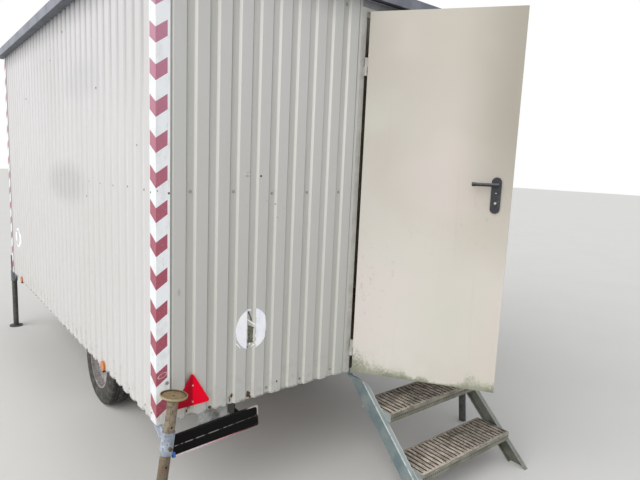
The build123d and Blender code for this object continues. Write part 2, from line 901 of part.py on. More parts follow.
def leaf_face(along, height, depth, facing):
    """An upright plane on the leaf, facing outwards (-1) or towards the room (+1)."""
    origin = pivot + leaf_x_dir * along + leaf_y_dir * depth + Vector(0, 0, height)
    return Plane(origin=origin, x_dir=leaf_x_dir * -facing, z_dir=leaf_y_dir * facing)


with BuildPart() as door_leaf:
    with BuildSketch(leaf_plane(leaf_bottom)):
        with Locations((leaf_setback, leaf_outer)):
            Rectangle(leaf_width, leaf_thickness, align=(Align.MIN, Align.MIN))
    extrude(amount=leaf_height)
    fillet(door_leaf.edges().filter_by(Axis.Z), radius=leaf_edge_radius)
    spindle_x = leaf_setback + lever_place
    spindle_z = wall_bottom + lever_height
    with BuildSketch(leaf_face(spindle_x, spindle_z, leaf_outer, -1)):
        Circle(spindle_radius + spindle_clearance)
    extrude(amount=-leaf_thickness, mode=Mode.SUBTRACT)
save(door_leaf, "door_leaf")

# Weld-on hinges: the lower half and its pin stand on the jamb, the upper half turns with the leaf.
with BuildPart() as hinge_pins:
    for height in hinge_heights:
        with BuildSketch(Plane(origin=(hinge_side, hinge_y, wall_bottom + height - barrel_height))):
            Circle(barrel_radius)
            Rectangle(barrel_tongue, hinge_out - jamb_proud, align=(Align.CENTER, Align.MIN))
        extrude(amount=barrel_height)
        with BuildSketch(Plane(origin=(hinge_side, hinge_y, wall_bottom + height))):
            Circle(hinge_pin_radius)
        extrude(amount=hinge_pin_length)
save(hinge_pins, "hinge_pins")

with BuildPart() as hinge_barrels:
    for height in hinge_heights:
        with BuildSketch(leaf_plane(wall_bottom + height + hinge_washer)):
            Circle(barrel_radius)
            with Locations((0, leaf_outer)):
                Rectangle(leaf_setback, barrel_tongue, align=(Align.MIN, Align.MIN))
        extrude(amount=barrel_height)
        with BuildSketch(leaf_plane(wall_bottom + height + hinge_washer)):
            Circle(hinge_pin_radius + hinge_clearance)
        extrude(amount=hinge_pin_length + hinge_washer, mode=Mode.SUBTRACT)
save(hinge_barrels, "hinge_barrels")

# Lock plates with a cylinder and a screw, on both faces of the leaf.
with BuildPart() as lock_plates:
    plate_middle = spindle_z + (lock_plate_above - lock_plate_below) / 2
    for facing, depth in ((-1, leaf_outer), (1, leaf_inner)):
        with BuildSketch(leaf_face(spindle_x, plate_middle, depth, facing)):
            SlotOverall(lock_plate_above + lock_plate_below, lock_plate_width, rotation=90)
            with Locations((0, spindle_z - plate_middle)):
                Circle(spindle_radius + spindle_clearance, mode=Mode.SUBTRACT)
        extrude(amount=lock_plate_thickness)
        with BuildSketch(leaf_face(spindle_x, plate_middle, depth, facing).offset(lock_plate_thickness)):
            with Locations((0, spindle_z - cylinder_drop - plate_middle)):
                Circle(cylinder_radius)
            with Locations((0, spindle_z - cylinder_drop - plate_middle - cylinder_radius)):
                Rectangle(cylinder_radius, 2 * cylinder_radius)
            with Locations((0, spindle_z - lock_screw_drop - plate_middle)):
                Circle(lock_screw_radius)
        extrude(amount=cylinder_proud)
save(lock_plates, "lock_plates")

# One spindle with a lever on each side of the leaf, pointing to the hinge.
spindle_reach = leaf_thickness / 2 + lever_standoff
spindle_middle = leaf_face(spindle_x, spindle_z, leaf_outer + leaf_thickness / 2, 1)
with BuildPart() as lever_handle:
    with BuildSketch(spindle_middle):
        Circle(spindle_radius)
    extrude(amount=spindle_reach, both=True)
    for side in (-1, 1):
        bar_start = spindle_middle.origin + leaf_y_dir * side * spindle_reach
        with BuildSketch(Plane(origin=bar_start + leaf_x_dir * lever_radius, z_dir=leaf_x_dir * -1)):
            Circle(lever_radius)
        extrude(amount=lever_length + lever_radius)
    fillet(lever_handle.faces().sort_by(Axis(pivot, leaf_x_dir))[0:2].edges(), radius=lever_end_round)
save(lever_handle, "lever_handle")

# Stair: two channels with their open sides inwards, cut level at the top and at the ground. The upper
# flanges' ends are mitred, and a plate on each web hooks under the end sill.
stair_middle = door_middle + stair_offset
stair_width = tread_width + 2 * stringer_flange
stringer_run = Vector(0, -cos(stringer_angle), -sin(stringer_angle))
stringer_up = Vector(0, -sin(stringer_angle), cos(stringer_angle))
stringer_start = Vector(stair_middle - stair_width / 2, door_end + stringer_back, stringer_top)
with BuildPart() as stair_stringer_left:
    rolled = channel(
        Plane(origin=stringer_start - stringer_run * stringer_web, x_dir=(1, 0, 0), z_dir=stringer_run),
        stringer_web,
        stringer_flange,
        stringer_wall,
        stringer_top / sin(stringer_angle) + 3 * stringer_web,
    )
    add(rolled.part)
    split(bisect_by=Plane.XY.offset(stringer_top), keep=Keep.BOTTOM)
    split(bisect_by=Plane.XY, keep=Keep.TOP)
    mitre_start = stringer_start + Vector(stringer_wall, -stringer_cut, 0)
    with BuildSketch(Plane(origin=mitre_start, x_dir=(1, 0, 0), z_dir=stringer_up)):
        with BuildLine():
            Polyline(
                (0, 0),
                (stringer_flange - stringer_wall, -stringer_mitre),
                (stringer_flange - stringer_wall, stringer_web),
                (0, stringer_web),
                close=True,
            )
        make_face()
    extrude(amount=-stringer_wall, mode=Mode.SUBTRACT)
    hook_plane = Plane(origin=(stringer_start.X + stringer_wall, 0, 0), x_dir=(0, 1, 0), z_dir=(1, 0, 0))
    with BuildSketch(hook_plane):
        with BuildLine():
            Polyline(
                (stringer_start.Y - stringer_web, stringer_top - stringer_web / 2),
                (door_end + hook_reach, stringer_top - hook_depth),
                (door_end + hook_reach, sill_bottom),
                (stop_face, sill_bottom),
                (stop_face, stringer_top),
                (stringer_start.Y - stringer_web, stringer_top),
                close=True,
            )
        make_face()
    extrude(amount=hook_thickness)
save(stair_stringer_left, "stair_stringer_left")

with BuildPart() as stair_stringer_right:
    mirror(stair_stringer_left.part, about=Plane(origin=(stair_middle, 0, 0), z_dir=(1, 0, 0)))
save(stair_stringer_right, "stair_stringer_right")

# Treads: slotted steel planks with folded lips, turned-down slot edges and end plates, which are welded
# to the stringers' flanges and stand out in front of them.
slot_length = (tread_depth - 2 * slot_margin - (slot_rows - 1) * slot_bridge) / slot_rows
slot_count = int(tread_width / slot_pitch)
tread_names = ["stair_tread_upper", "stair_tread_lower"]
for number, tread_name in zip(range(tread_count), tread_names):
    tread_top = wall_bottom - tread_drop - tread_rise * number
    ridge_y = stringer_start.Y - stringer_cut - (stringer_top - tread_top) / tan(stringer_angle)
    nose_y = ridge_y - tread_forward
    tread_middle = (stair_middle, nose_y + tread_depth / 2)
    with BuildPart() as tread:
        with BuildSketch(Plane.XY.offset(tread_top - tread_lip)):
            with Locations(tread_middle):
                Rectangle(tread_width, tread_depth)
        extrude(amount=tread_lip)
        with BuildSketch(Plane.XY.offset(tread_top - tread_lip)):
            with Locations(tread_middle):
                Rectangle(tread_width - 2 * tread_thickness, tread_depth - 2 * tread_thickness)
        extrude(amount=tread_lip - tread_thickness, mode=Mode.SUBTRACT)
        slot_row_pitch = slot_length + slot_bridge
        with BuildSketch(Plane.XY.offset(tread_top - tread_thickness)):
            with Locations(tread_middle):
                with GridLocations(slot_pitch, slot_row_pitch, slot_count, slot_rows):
                    Rectangle(slot_width + 2 * slot_edge_thickness, slot_length + 2 * slot_edge_thickness)
        extrude(amount=-slot_edge_depth)
        with BuildSketch(Plane.XY.offset(tread_top)):
            with Locations(tread_middle):
                with GridLocations(slot_pitch, slot_row_pitch, slot_count, slot_rows):
                    Rectangle(slot_width, slot_length)
        extrude(amount=-tread_thickness - slot_edge_depth, mode=Mode.SUBTRACT)
        for side in (-1, 1):
            plate_x = stair_middle + side * (tread_width / 2 - tread_thickness)
            plate_plane = Plane(origin=(plate_x, nose_y, tread_top), x_dir=(0, 1, 0), z_dir=(1, 0, 0))
            with BuildSketch(plate_plane) as end_plate:
                with Locations((tread_thickness, -tread_lip)):
                    Rectangle(
                        tread_depth + end_plate_back - tread_thickness,
                        tread_lip,
                        align=(Align.MIN, Align.MIN),
                    )
                fillet(end_plate.vertices().sort_by(Axis.X)[-2:], radius=end_plate_round)
            extrude(amount=side * tread_thickness)
    save(tread, tread_name)

# Triangular reflector on the door end, point up.
triangle_circle = triangle_side / sqrt(3)
with BuildPart() as triangle_reflector:
    triangle_plane = Plane(
        origin=(triangle_x - half_width, door_end, wall_bottom + triangle_low + triangle_circle / 2),
        x_dir=(1, 0, 0),
        z_dir=(0, -1, 0),
    )
    with BuildSketch(triangle_plane) as triangle_outline:
        RegularPolygon(triangle_circle, 3, rotation=90)
        fillet(triangle_outline.vertices(), radius=triangle_round)
    extrude(amount=triangle_depth)
    chamfer(triangle_reflector.faces().sort_by(Axis.Y)[0].edges(), length=triangle_chamfer)
save(triangle_reflector, "triangle_reflector")

# Round side reflectors on tabs that are folded under the sill.
side_reflector_places = [
    door_end + side_reflector_insets[0],
    drawbar_end - side_reflector_insets[1],
]
with BuildPart() as side_reflectors:
    for place in side_reflector_places:
        centre = (-half_width, place, wall_bottom + side_reflector_height)
        with BuildSketch(Plane(origin=centre, x_dir=(0, 1, 0), z_dir=(-1, 0, 0))):
            Circle(side_reflector_radius)
        extrude(amount=side_reflector_depth)
    mirror(about=Plane.YZ)
save(side_reflectors, "side_reflectors")

with BuildPart() as reflector_tabs:
    tab_low = side_reflector_height - side_reflector_radius
    tab_bottom = wall_bottom + tab_low - reflector_tab_thickness
    for place in side_reflector_places:
        with BuildSketch(Plane.XZ.offset(reflector_tab_width / 2 - place)):
            with BuildLine():
                Polyline(
                    (-half_width - side_reflector_depth, tab_bottom),
                    (-inner_half, tab_bottom),
                    (-inner_half, sill_bottom),
                    (-inner_half - reflector_tab_thickness, sill_bottom),
                    (-inner_half - reflector_tab_thickness, tab_bottom + reflector_tab_thickness),
                    (-half_width - side_reflector_depth, tab_bottom + reflector_tab_thickness),
                    close=True,
                )
            make_face()
        extrude(amount=-reflector_tab_width)
    mirror(about=Plane.YZ)
save(reflector_tabs, "reflector_tabs")

# Bent hanger under the door-end sill, and the plate carrier that hangs askew from it.
hanger_face = door_end + sheet_depth + hanger_thickness
with BuildPart() as plate_hanger:
    with BuildSketch(Plane(origin=(hanger_left - half_width, 0, 0), x_dir=(0, 1, 0), z_dir=(1, 0, 0))):
        with BuildLine():
            Polyline(
                (hanger_face - hanger_thickness, wall_bottom - hanger_drop),
                (hanger_face, wall_bottom - hanger_drop),
                (hanger_face, sill_bottom - hanger_thickness),
                (hanger_face + hanger_flange, sill_bottom - hanger_thickness),
                (hanger_face + hanger_flange, sill_bottom),
                (hanger_face - hanger_thickness, sill_bottom),
                close=True,
            )
        make_face()
    extrude(amount=hanger_width)
save(plate_hanger, "plate_hanger")

carrier_angle = radians(carrier_tilt)
carrier_plane = Plane(
    origin=(carrier_left - half_width, hanger_face - hanger_thickness, wall_bottom - carrier_drop),
    x_dir=(cos(carrier_angle), 0, sin(carrier_angle)),
    z_dir=(0, -1, 0),
)
with BuildPart() as plate_carrier:
    with BuildSketch(carrier_plane):
        Rectangle(carrier_width, carrier_height, align=(Align.MIN, Align.MAX))
    extrude(amount=carrier_thickness + pocket_depth)
    fillet(plate_carrier.edges().filter_by(Axis.Y), radius=carrier_corner)
    row_pitch = carrier_height - 2 * plate_margin - plate_height
    row_places = [
        (carrier_width / 2, -plate_margin - plate_height / 2),
        (carrier_width / 2, -plate_margin - plate_height / 2 - row_pitch),
    ]
    with BuildSketch(carrier_plane.offset(carrier_thickness)):
        with Locations(row_places):
            RectangleRounded(carrier_width - 2 * plate_margin, plate_height, plate_corner)
    extrude(amount=pocket_depth, mode=Mode.SUBTRACT)
save(plate_carrier, "plate_carrier")

with BuildPart() as blank_plates:
    with BuildSketch(carrier_plane.offset(carrier_thickness)):
        with Locations(row_places):
            RectangleRounded(
                carrier_width - 2 * plate_margin - 2 * plate_gap, plate_height - 2 * plate_gap, plate_corner
            )
    extrude(amount=plate_thickness)
save(blank_plates, "blank_plates")
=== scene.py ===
import json
import math
import random

import bmesh
import bpy
from mathutils import Matrix, Vector


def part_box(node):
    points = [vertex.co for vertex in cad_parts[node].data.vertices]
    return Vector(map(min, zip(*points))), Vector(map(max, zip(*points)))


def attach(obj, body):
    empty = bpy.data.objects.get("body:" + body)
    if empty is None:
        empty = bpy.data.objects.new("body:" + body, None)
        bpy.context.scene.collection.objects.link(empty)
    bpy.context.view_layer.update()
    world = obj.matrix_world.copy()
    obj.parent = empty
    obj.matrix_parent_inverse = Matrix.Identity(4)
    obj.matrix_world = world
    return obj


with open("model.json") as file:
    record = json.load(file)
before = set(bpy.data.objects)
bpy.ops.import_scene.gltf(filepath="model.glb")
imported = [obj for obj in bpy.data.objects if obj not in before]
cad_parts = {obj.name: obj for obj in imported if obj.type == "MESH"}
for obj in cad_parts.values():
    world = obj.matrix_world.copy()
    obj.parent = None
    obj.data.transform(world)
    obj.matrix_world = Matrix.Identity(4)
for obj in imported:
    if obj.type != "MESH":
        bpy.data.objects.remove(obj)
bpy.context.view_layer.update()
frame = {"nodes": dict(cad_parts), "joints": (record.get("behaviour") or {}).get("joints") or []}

# Places of the frame, in metres: +Z up, the door end faces -Y, the drawbar points to +Y
TRIM_THICKNESS = 0.0015
trims_low, trims_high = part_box("corner_trims")
HALF_WIDTH = trims_high.x - TRIM_THICKNESS
DOOR_END = trims_low.y + TRIM_THICKNESS
DRAWBAR_END = trims_high.y - TRIM_THICKNESS
WALL_BOTTOM = trims_low.z
WALL_TOP = trims_high.z
WALL_HEIGHT = WALL_TOP - WALL_BOTTOM
NEAR_CORNER = Vector((-HALF_WIDTH, DOOR_END, WALL_BOTTOM))
MIDDLE_Y = (DOOR_END + DRAWBAR_END) / 2
HALF_LENGTH = (DRAWBAR_END - DOOR_END) / 2
ENDS = {-1: DOOR_END, 1: DRAWBAR_END}
CORNERS = [(x_side, y_side) for x_side in (-1, 1) for y_side in (-1, 1)]
UP = Vector((0, 0, 1))

# The wall sheets' profile, the valley of the strip right of the door and the frame's edge beside it
RIB_PITCH = 0.1065
RIB_VALLEY = 0.032
RIB_WEB = 0.008
RIB_DEPTH = 0.01
FIRST_VALLEY = 0.051
RIGHT_STRIP_VALLEY = FIRST_VALLEY + 19 * RIB_PITCH
FRAME_EDGE = HALF_WIDTH - 0.201

# The stair's channel stringers and the slots and holes of its treads
STRINGER_SLOPE = math.radians(43.2)
STRINGER_WEB = 0.08
STRINGER_FLANGE = 0.03
STRINGER_TOP = -0.031
STRINGER_BACK = 0.026
SLOT_PITCH = 0.032
SLOT_BRIDGES = (0.0787, 0.1463)
LIP_HOLE_PITCH = 0.032
LIP_HOLE_RADIUS = 0.0042
LIP_HOLE_DROP = 0.027

# The upturned dish on the right-hand door-end prop; the left one mirrors it
DISH_HEIGHT = 0.15
DISH_MIDDLE = Vector((HALF_WIDTH - 0.0506, DOOR_END - 0.068, WALL_BOTTOM + DISH_HEIGHT))

# The plate carrier's own frame: along it and down it from its upper left corner
CARRIER_TILT = math.radians(3.6)
CARRIER_WIDTH = 0.465
CARRIER_HEIGHT = 0.112
CARRIER_CORNER = 0.022
CARRIER_ORIGIN = NEAR_CORNER + Vector((0.068, 0, -0.075))
CARRIER_RUN = Vector((math.cos(CARRIER_TILT), 0, math.sin(CARRIER_TILT)))
CARRIER_DOWN = Vector((math.sin(CARRIER_TILT), 0, -math.cos(CARRIER_TILT)))

# The open door leaf, its free edge measured from its pivot
door_joint = next(joint for joint in frame["joints"] if joint["name"] == "door_hinge")
PIVOT = Vector(door_joint["pos_m"])
DOOR_OPEN = math.radians(55)
LEAF_ALONG = Vector((math.cos(DOOR_OPEN), -math.sin(DOOR_OPEN), 0))
LEAF_IN = Vector((math.sin(DOOR_OPEN), math.cos(DOOR_OPEN), 0))
LEAF_EDGE = 0.79
LEAF_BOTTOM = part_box("door_leaf")[0].z

tyre_low, tyre_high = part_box("left_tyre")
WHEEL_Y = (tyre_low.y + tyre_high.y) / 2
WHEEL_Z = (tyre_low.z + tyre_high.z) / 2


# Node materials

def srgb(tone):
    """A tone written as #rrggbb, made linear."""
    linear = []
    for start in (1, 3, 5):
        share = int(tone[start:start + 2], 16) / 255
        linear.append(share / 12.92 if share <= 0.04045 else ((share + 0.055) / 1.055) ** 2.4)
    return (*linear, 1.0)


def arithmetic(operation, swapped=False):
    """A method that adds a math node for a field and another value."""
    def method(field, other=0.0):
        pair = (other, field) if swapped else (field, other)
        return field.nodes.math(operation, *pair)
    return method


class Field:
    """A value that changes over a surface: a node's output, whose arithmetic adds nodes."""

    def __init__(self, nodes, socket):
        self.nodes = nodes
        self.socket = socket

    __add__ = __radd__ = arithmetic("ADD")
    __sub__ = arithmetic("SUBTRACT")
    __rsub__ = arithmetic("SUBTRACT", swapped=True)
    __mul__ = __rmul__ = arithmetic("MULTIPLY")
    __truediv__ = arithmetic("DIVIDE")
    __mod__ = arithmetic("FLOORED_MODULO")
    __abs__ = arithmetic("ABSOLUTE")
    larger = arithmetic("MAXIMUM")
    smaller = arithmetic("MINIMUM")
    there_and_back = arithmetic("PINGPONG")

    def span(self, low, high):
        """0 at low and 1 at high, smooth between; low may be the larger one."""
        inputs = {"Value": self, "From Min": low, "From Max": high}
        return self.nodes.field("MapRange", inputs, "Result", interpolation_type="SMOOTHSTEP")


class Nodes:
    """A node tree of a material or a world, empty at first."""

    def __init__(self, owner):
        owner.use_nodes = True
        self.tree = owner.node_tree
        self.tree.nodes.clear()

    def feed(self, socket, value):
        """Link a field to a socket, or set the socket's own value."""
        if isinstance(value, Field):
            self.tree.links.new(value.socket, socket)
        else:
            socket.default_value = srgb(value) if isinstance(value, str) else value

    def add(self, kind, inputs, **settings):
        node = self.tree.nodes.new("ShaderNode" + kind)
        for name, value in settings.items():
            setattr(node, name, value)
        for name, value in inputs.items():
            self.feed(node.inputs[name], value)
        return node

    def field(self, kind, inputs, output=0, **settings):
        return Field(self, self.add(kind, inputs, **settings).outputs[output])

    def math(self, operation, first, second=0.0, **settings):
        return self.field("Math", {0: first, 1: second}, operation=operation, **settings)


class Look(Nodes):
    """A node material whose textures lie in the row frame, in metres.

    Its colour starts with base(), and cover() and tint() paint over it. Tones are written as #rrggbb.
    """

    def __init__(self, name, roughness=0.5, specular=0.5):
        self.material = bpy.data.materials.new(name)
        super().__init__(self.material)
        self.shader = self.add("BsdfPrincipled", {"Roughness": roughness, "Specular IOR Level": specular})
        self.add("OutputMaterial", {"Surface": Field(self, self.shader.outputs[0])})
        self.place = self.field("TexCoord", {}, "Object")
        self.colour = None
        self.normal = None

    def axes(self):
        """The place's x, y and z."""
        return [Field(self, socket) for socket in self.add("SeparateXYZ", {0: self.place}).outputs]

    def noise(self, scale, detail, roughness=0.55, stretch=(1, 1, 1), shift=(0, 0, 0)):
        place = self.field("Mapping", {"Vector": self.place, "Scale": stretch, "Location": shift})
        inputs = {"Vector": place, "Scale": scale, "Detail": detail, "Roughness": roughness}
        return self.field("TexNoise", inputs, "Fac")

    def cells(self, scale, output="Distance", feature="F1"):
        return self.field("TexVoronoi", {"Vector": self.place, "Scale": scale}, output, feature=feature)

    def distance(self, point, place=None):
        """How far a place is from a point of the row frame."""
        return self.field("VectorMath", {0: place or self.place, 1: point}, "Value", operation="DISTANCE")

    def upward(self):
        """1 on faces that look up, where dust settles and the sky shines back."""
        normal = self.field("NewGeometry", {}, "Normal")
        return self.field("SeparateXYZ", {0: normal}, "Z").span(0.1, 0.8)

    def mix(self, first, second, amount, blend="MIX"):
        return self.field("Mix", {0: amount, 6: first, 7: second}, 2, data_type="RGBA", blend_type=blend)

    def base(self, first, second, amount):
        self.colour = self.mix(first, second, amount)

    def cover(self, tone, amount):
        self.colour = self.mix(self.colour, tone, amount)

    def tint(self, shade, amount):
        """Multiply the colour by a linear shade."""
        self.colour = self.mix(self.colour, shade, amount, "MULTIPLY")

    def glow(self, strength):
        """A painted glow in the colour so far, for light thrown back by a film or a prism."""
        self.feed(self.shader.inputs["Emission Color"], self.colour)
        self.feed(self.shader.inputs["Emission Strength"], strength)

    def bump(self, height, distance, strength):
        inputs = {"Height": height, "Distance": distance, "Strength": strength}
        if self.normal is not None:
            inputs["Normal"] = self.normal
        self.normal = self.field("Bump", inputs)

    def grain(self, scale, detail, distance, strength):
        self.bump(self.noise(scale, detail), distance, strength)

    def finish(self, roughness=None, metallic=None):
        given = {
            "Base Color": self.colour, "Roughness": roughness, "Metallic": metallic, "Normal": self.normal
        }
        for name, value in given.items():
            if value is not None:
                self.feed(self.shader.inputs[name], value)
        return self.material


def hypotenuse(across, up):
    return across.nodes.math("SQRT", across * across + up * up)


def from_oval(across, up, middle, radii):
    """0 in the middle of an oval and 1 at its edge."""
    return hypotenuse((across - middle[0]) * (1 / radii[0]), (up - middle[1]) * (1 / radii[1]))


def make_sheet_paint():
    """Weathered off-white paint on the profiled wall sheets."""
    look = Look("sheet_paint")
    x, y, z = look.axes()
    height = z - WALL_BOTTOM
    broad = look.noise(0.8, 3, stretch=(1, 1, 0.6))
    runs = look.noise(14, 5, stretch=(1, 1, 0.05))
    from_side = HALF_WIDTH - abs(x)
    from_end = HALF_LENGTH - abs(y - MIDDLE_Y)
    valley = from_side.smaller(from_end).span(0.003, 0.009)
    on_side = from_side.span(0.0125, 0.0115)
    on_ends = 1.0 - on_side
    door_face = y.span(MIDDLE_Y + 0.1, MIDDLE_Y - 0.1) * on_ends
    look.base("#d6d5d4", "#d0d0cd", broad.span(0.4, 0.65))
    look.cover("#c4c4be", runs.span(0.58, 0.8) * 0.2)
    # Valleys: painted shade on the ends, painted light low on the sides and painted shade high up there
    lower_side = on_side * height.span(1.75, 1.1)
    upper_side = on_side * height.span(1.2, WALL_HEIGHT)
    look.cover("#cac9c3", valley * (1.0 - lower_side) * runs.span(0.3, 0.7))
    look.cover("#e4e3e1", valley * lower_side * 0.6)
    look.cover("#acacb2", valley * upper_side * 0.75)
    # Fold lines: a painted shadow at each valley's near fold, a painted highlight at its far one. The strip
    # right of the door has no valley next to the door frame.
    run = (x + HALF_WIDTH) * on_ends + (y - DOOR_END) * on_side
    off = (run + (RIB_PITCH * 1.5 - FIRST_VALLEY)) % RIB_PITCH - RIB_PITCH / 2
    half_valley = RIB_VALLEY / 2 + RIB_WEB
    near_fold_shadow = abs(off + (half_valley - 0.001)).span(0.0036, 0.0016)
    far_fold_highlight = abs(off - (half_valley - RIB_WEB / 2)).span(0.0075, 0.0045)
    plain = x.span(FRAME_EDGE - 0.004, FRAME_EDGE + 0.004) * run.span(2.034, 2.026) * door_face
    strength = (1.0 - on_side * 0.9) * (1.0 - plain)
    look.cover("#ecebe4", far_fold_highlight * strength * 0.75)
    look.cover("#6c6b66", near_fold_shadow * strength * 0.72)
    # Dust and shade towards the foot, splashes and a dark edge at it, rust specks and rubbed paint
    look.cover("#ccccc4", height.span(WALL_HEIGHT, 0.2) * 0.35)
    look.tint((0.9, 0.9, 0.895, 1.0), height.span(1.6, 0.3) * on_ends * 0.85)
    splash = height.span(0.24, 0.0) * look.noise(22, 6, 0.65).span(0.46, 0.72)
    look.cover("#9e9a88", splash * 0.35)
    look.cover("#544c3e", height.span(0.014, 0.0) * look.noise(45, 5).span(0.4, 0.6) * 0.8)
    rust = look.cells(26).span(0.16, 0.05) * look.noise(2.6, 2, shift=(3, 1, 4)).span(0.6, 0.7)
    look.cover("#7a543a", rust * 0.7)
    look.cover("#e2e0da", look.noise(70, 3).span(0.6, 0.8) * 0.25)
    look.tint((0.985, 0.975, 1.0, 1.0), on_side)
    # On the door end, a painted highlight and a painted shadow at the knock, and a dirty streak low beside
    # the trim
    for middle, radii, tone, amount in (
        ((0.438, 1.122), (0.026, 0.004), "#ecece8", 0.7), ((0.442, 1.112), (0.024, 0.005), "#8c8c88", 0.5),
        ((0.103, 0.594), (0.011, 0.026), "#96969a", 0.45),
    ):
        streak = from_oval(x + HALF_WIDTH, height, middle, radii).span(1.0, 0.2)
        look.cover(tone, streak * door_face * amount)
    # Painted shadow under the eaves, deeper in the valleys
    eaves_shadow = height.span(WALL_HEIGHT - 0.17, WALL_HEIGHT) * (valley * 0.3 + 0.5)
    look.cover("#787a80", eaves_shadow * (on_side * 0.65 + 0.35))
    # Two soft grey patches on the left side wall
    for middle, radii, tone, amount in (
        ((1.54, 1.0), (0.64, 0.18), "#bab9b8", 0.62), ((1.13, 1.6), (0.55, 0.15), "#c4c4c7", 0.5)
    ):
        soft_patch = from_oval(y - DOOR_END, height, middle, radii).span(1.0, 0.3)
        look.cover(tone, soft_patch * on_side * x.span(0.1, -0.1) * amount)
    look.grain(260, 2, 0.0002, 0.35)
    look.bump(broad, 0.004, 0.25)
    # A knock beside the hole in the door end
    knock = look.distance(NEAR_CORNER + Vector((0.446, 0, 1.117)))
    look.bump(knock.span(0.002, 0.022), 0.005, 0.8)
    return look.finish(runs.span(0.4, 0.8) * 0.22 + 0.42)


def film_glow(look, y, strength):
    """A painted glow on the trims' door-end faces, for the light their film throws back."""
    look.glow(y.span(DOOR_END - 0.0006, DOOR_END - 0.0012) * strength)
    look.grain(180, 2, 0.0002, 0.3)


def make_trim_white():
    """White film on the corner trims, with grime, scuffs and one dark smear."""
    look = Look("trim_white", roughness=0.38)
    x, y, z = look.axes()
    grime = look.noise(35, 6, 0.65, stretch=(1, 1, 0.5))
    look.base("#f0f3f7", "#e0e2e4", grime.span(0.46, 0.74))
    low = z.span(WALL_BOTTOM + 0.22, WALL_BOTTOM) * grime.span(0.35, 0.6)
    look.cover("#b0a896", low * 0.5)
    scuffed = look.noise(4, 2).span(0.5, 0.62)
    scuffs = look.noise(90, 2, stretch=(1, 1, 0.12)).span(0.66, 0.74) * scuffed
    look.cover("#78746e", scuffs * 0.6)
    smear = look.distance(NEAR_CORNER + Vector((0.048, -TRIM_THICKNESS, 0.187)))
    look.cover("#545860", smear.span(0.013, 0.004) * 0.8)
    film_glow(look, y, 0.13)
    return look.finish()


def make_trim_red():
    """Faded red chevron film, paler towards the top."""
    look = Look("trim_red", roughness=0.42)
    x, y, z = look.axes()
    look.base("#a4485c", "#c48ca4", z.span(WALL_BOTTOM + 0.5, WALL_TOP + 0.2))
    look.cover("#c48a96", look.noise(120, 5, 0.7).span(0.5, 0.72) * 0.45)
    cracks = look.cells(210, feature="DISTANCE_TO_EDGE").span(0.05, 0.0)
    look.cover("#d4b0b4", cracks * 0.18)
    film_glow(look, y, 0.1)
    return look.finish()


def make_coated_grey(name, first, second):
    """Grey coated steel with rain marks, lichen specks and dust."""
    look = Look(name)
    marks = look.noise(7, 6, 0.6)
    look.base(first, second, marks.span(0.38, 0.66))
    look.cover("#5c5e60", look.noise(24, 4, stretch=(1, 1, 0.1)).span(0.55, 0.8) * 0.4)
    lichen = look.cells(34).span(0.3, 0.1) * look.noise(1.7, 3, shift=(5, 2, 0)).span(0.55, 0.68)
    look.cover("#b0b296", lichen * 0.5)
    look.grain(140, 3, 0.0003, 0.4)
    return look.finish(marks * 0.2 + 0.45)


def make_roof_paint():
    """The roof's top sheet: dull grey, with moss and dried puddles."""
    look = Look("roof_paint")
    puddle = look.noise(1.6, 5, 0.6)
    look.base("#8e9096", "#76787a", puddle.span(0.4, 0.62))
    look.cover("#605c4e", puddle.span(0.5, 0.53) * puddle.span(0.56, 0.53) * 0.5)
    damp = look.noise(1.1, 3, shift=(2, 7, 0)).span(0.48, 0.62)
    moss = look.noise(30, 6, 0.7).span(0.52, 0.66) * damp
    look.cover("#60683e", moss * 0.7)
    look.bump(moss, 0.003, 0.5)
    look.grain(150, 3, 0.0003, 0.4)
    return look.finish(puddle * 0.25 + 0.5)


def make_chassis_paint():
    """Dark chassis paint with road dirt and patches of rust."""
    look = Look("chassis_paint")
    look.base("#2c2e2e", "#48443c", look.noise(11, 7, 0.65).span(0.42, 0.7))
    chipped = look.noise(3.4, 3, shift=(1, 5, 2)).span(0.46, 0.6)
    rust = look.noise(38, 7, 0.7, shift=(4, 0, 2)).span(0.56, 0.66) * chipped
    look.cover("#704226", rust * 0.85)
    look.bump(rust, 0.0015, 0.5)
    look.grain(120, 4, 0.0006, 0.5)
    return look.finish(rust * 0.3 + 0.55)


def start_zinc(name, cool, warm, shade, spangled, dust_tone, dust):
    """Zinc with its spangle under a film of dust; returns the look and the film."""
    look = Look(name)
    spangle = look.field("SeparateColor", {0: look.cells(62, "Color")})
    look.base(cool, warm, look.noise(9, 6, 0.6).span(0.4, 0.65))
    look.tint(shade, spangle * spangled)
    film = look.noise(26, 7, 0.7, shift=(0, 3, 1)).span(0.45, 0.7)
    look.cover(dust_tone, film * dust)
    look.bump(spangle, 0.0003, 0.3)
    look.grain(160, 4, 0.0004, 0.4)
    return look, film


def make_hanger_zinc():
    """The plate hanger's mottled zinc, with rust and pale flecks."""
    look, film = start_zinc(
        "hanger_zinc", "#b0b2b2", "#545454", (0.82, 0.84, 0.86, 1.0), 0.55, "#968c7a", 0.25
    )
    chipped = look.noise(5, 3, shift=(7, 1, 0)).span(0.52, 0.64)
    look.cover("#784e30", look.noise(55, 6, 0.7).span(0.6, 0.7) * chipped * 0.7)
    flecks = look.cells(64).span(0.34, 0.2) * look.noise(21, 4).span(0.44, 0.56)
    look.cover("#d6d6d2", flecks * 0.6)
    return look.finish(film * 0.3 + 0.42, 0.45 - film * 0.35)


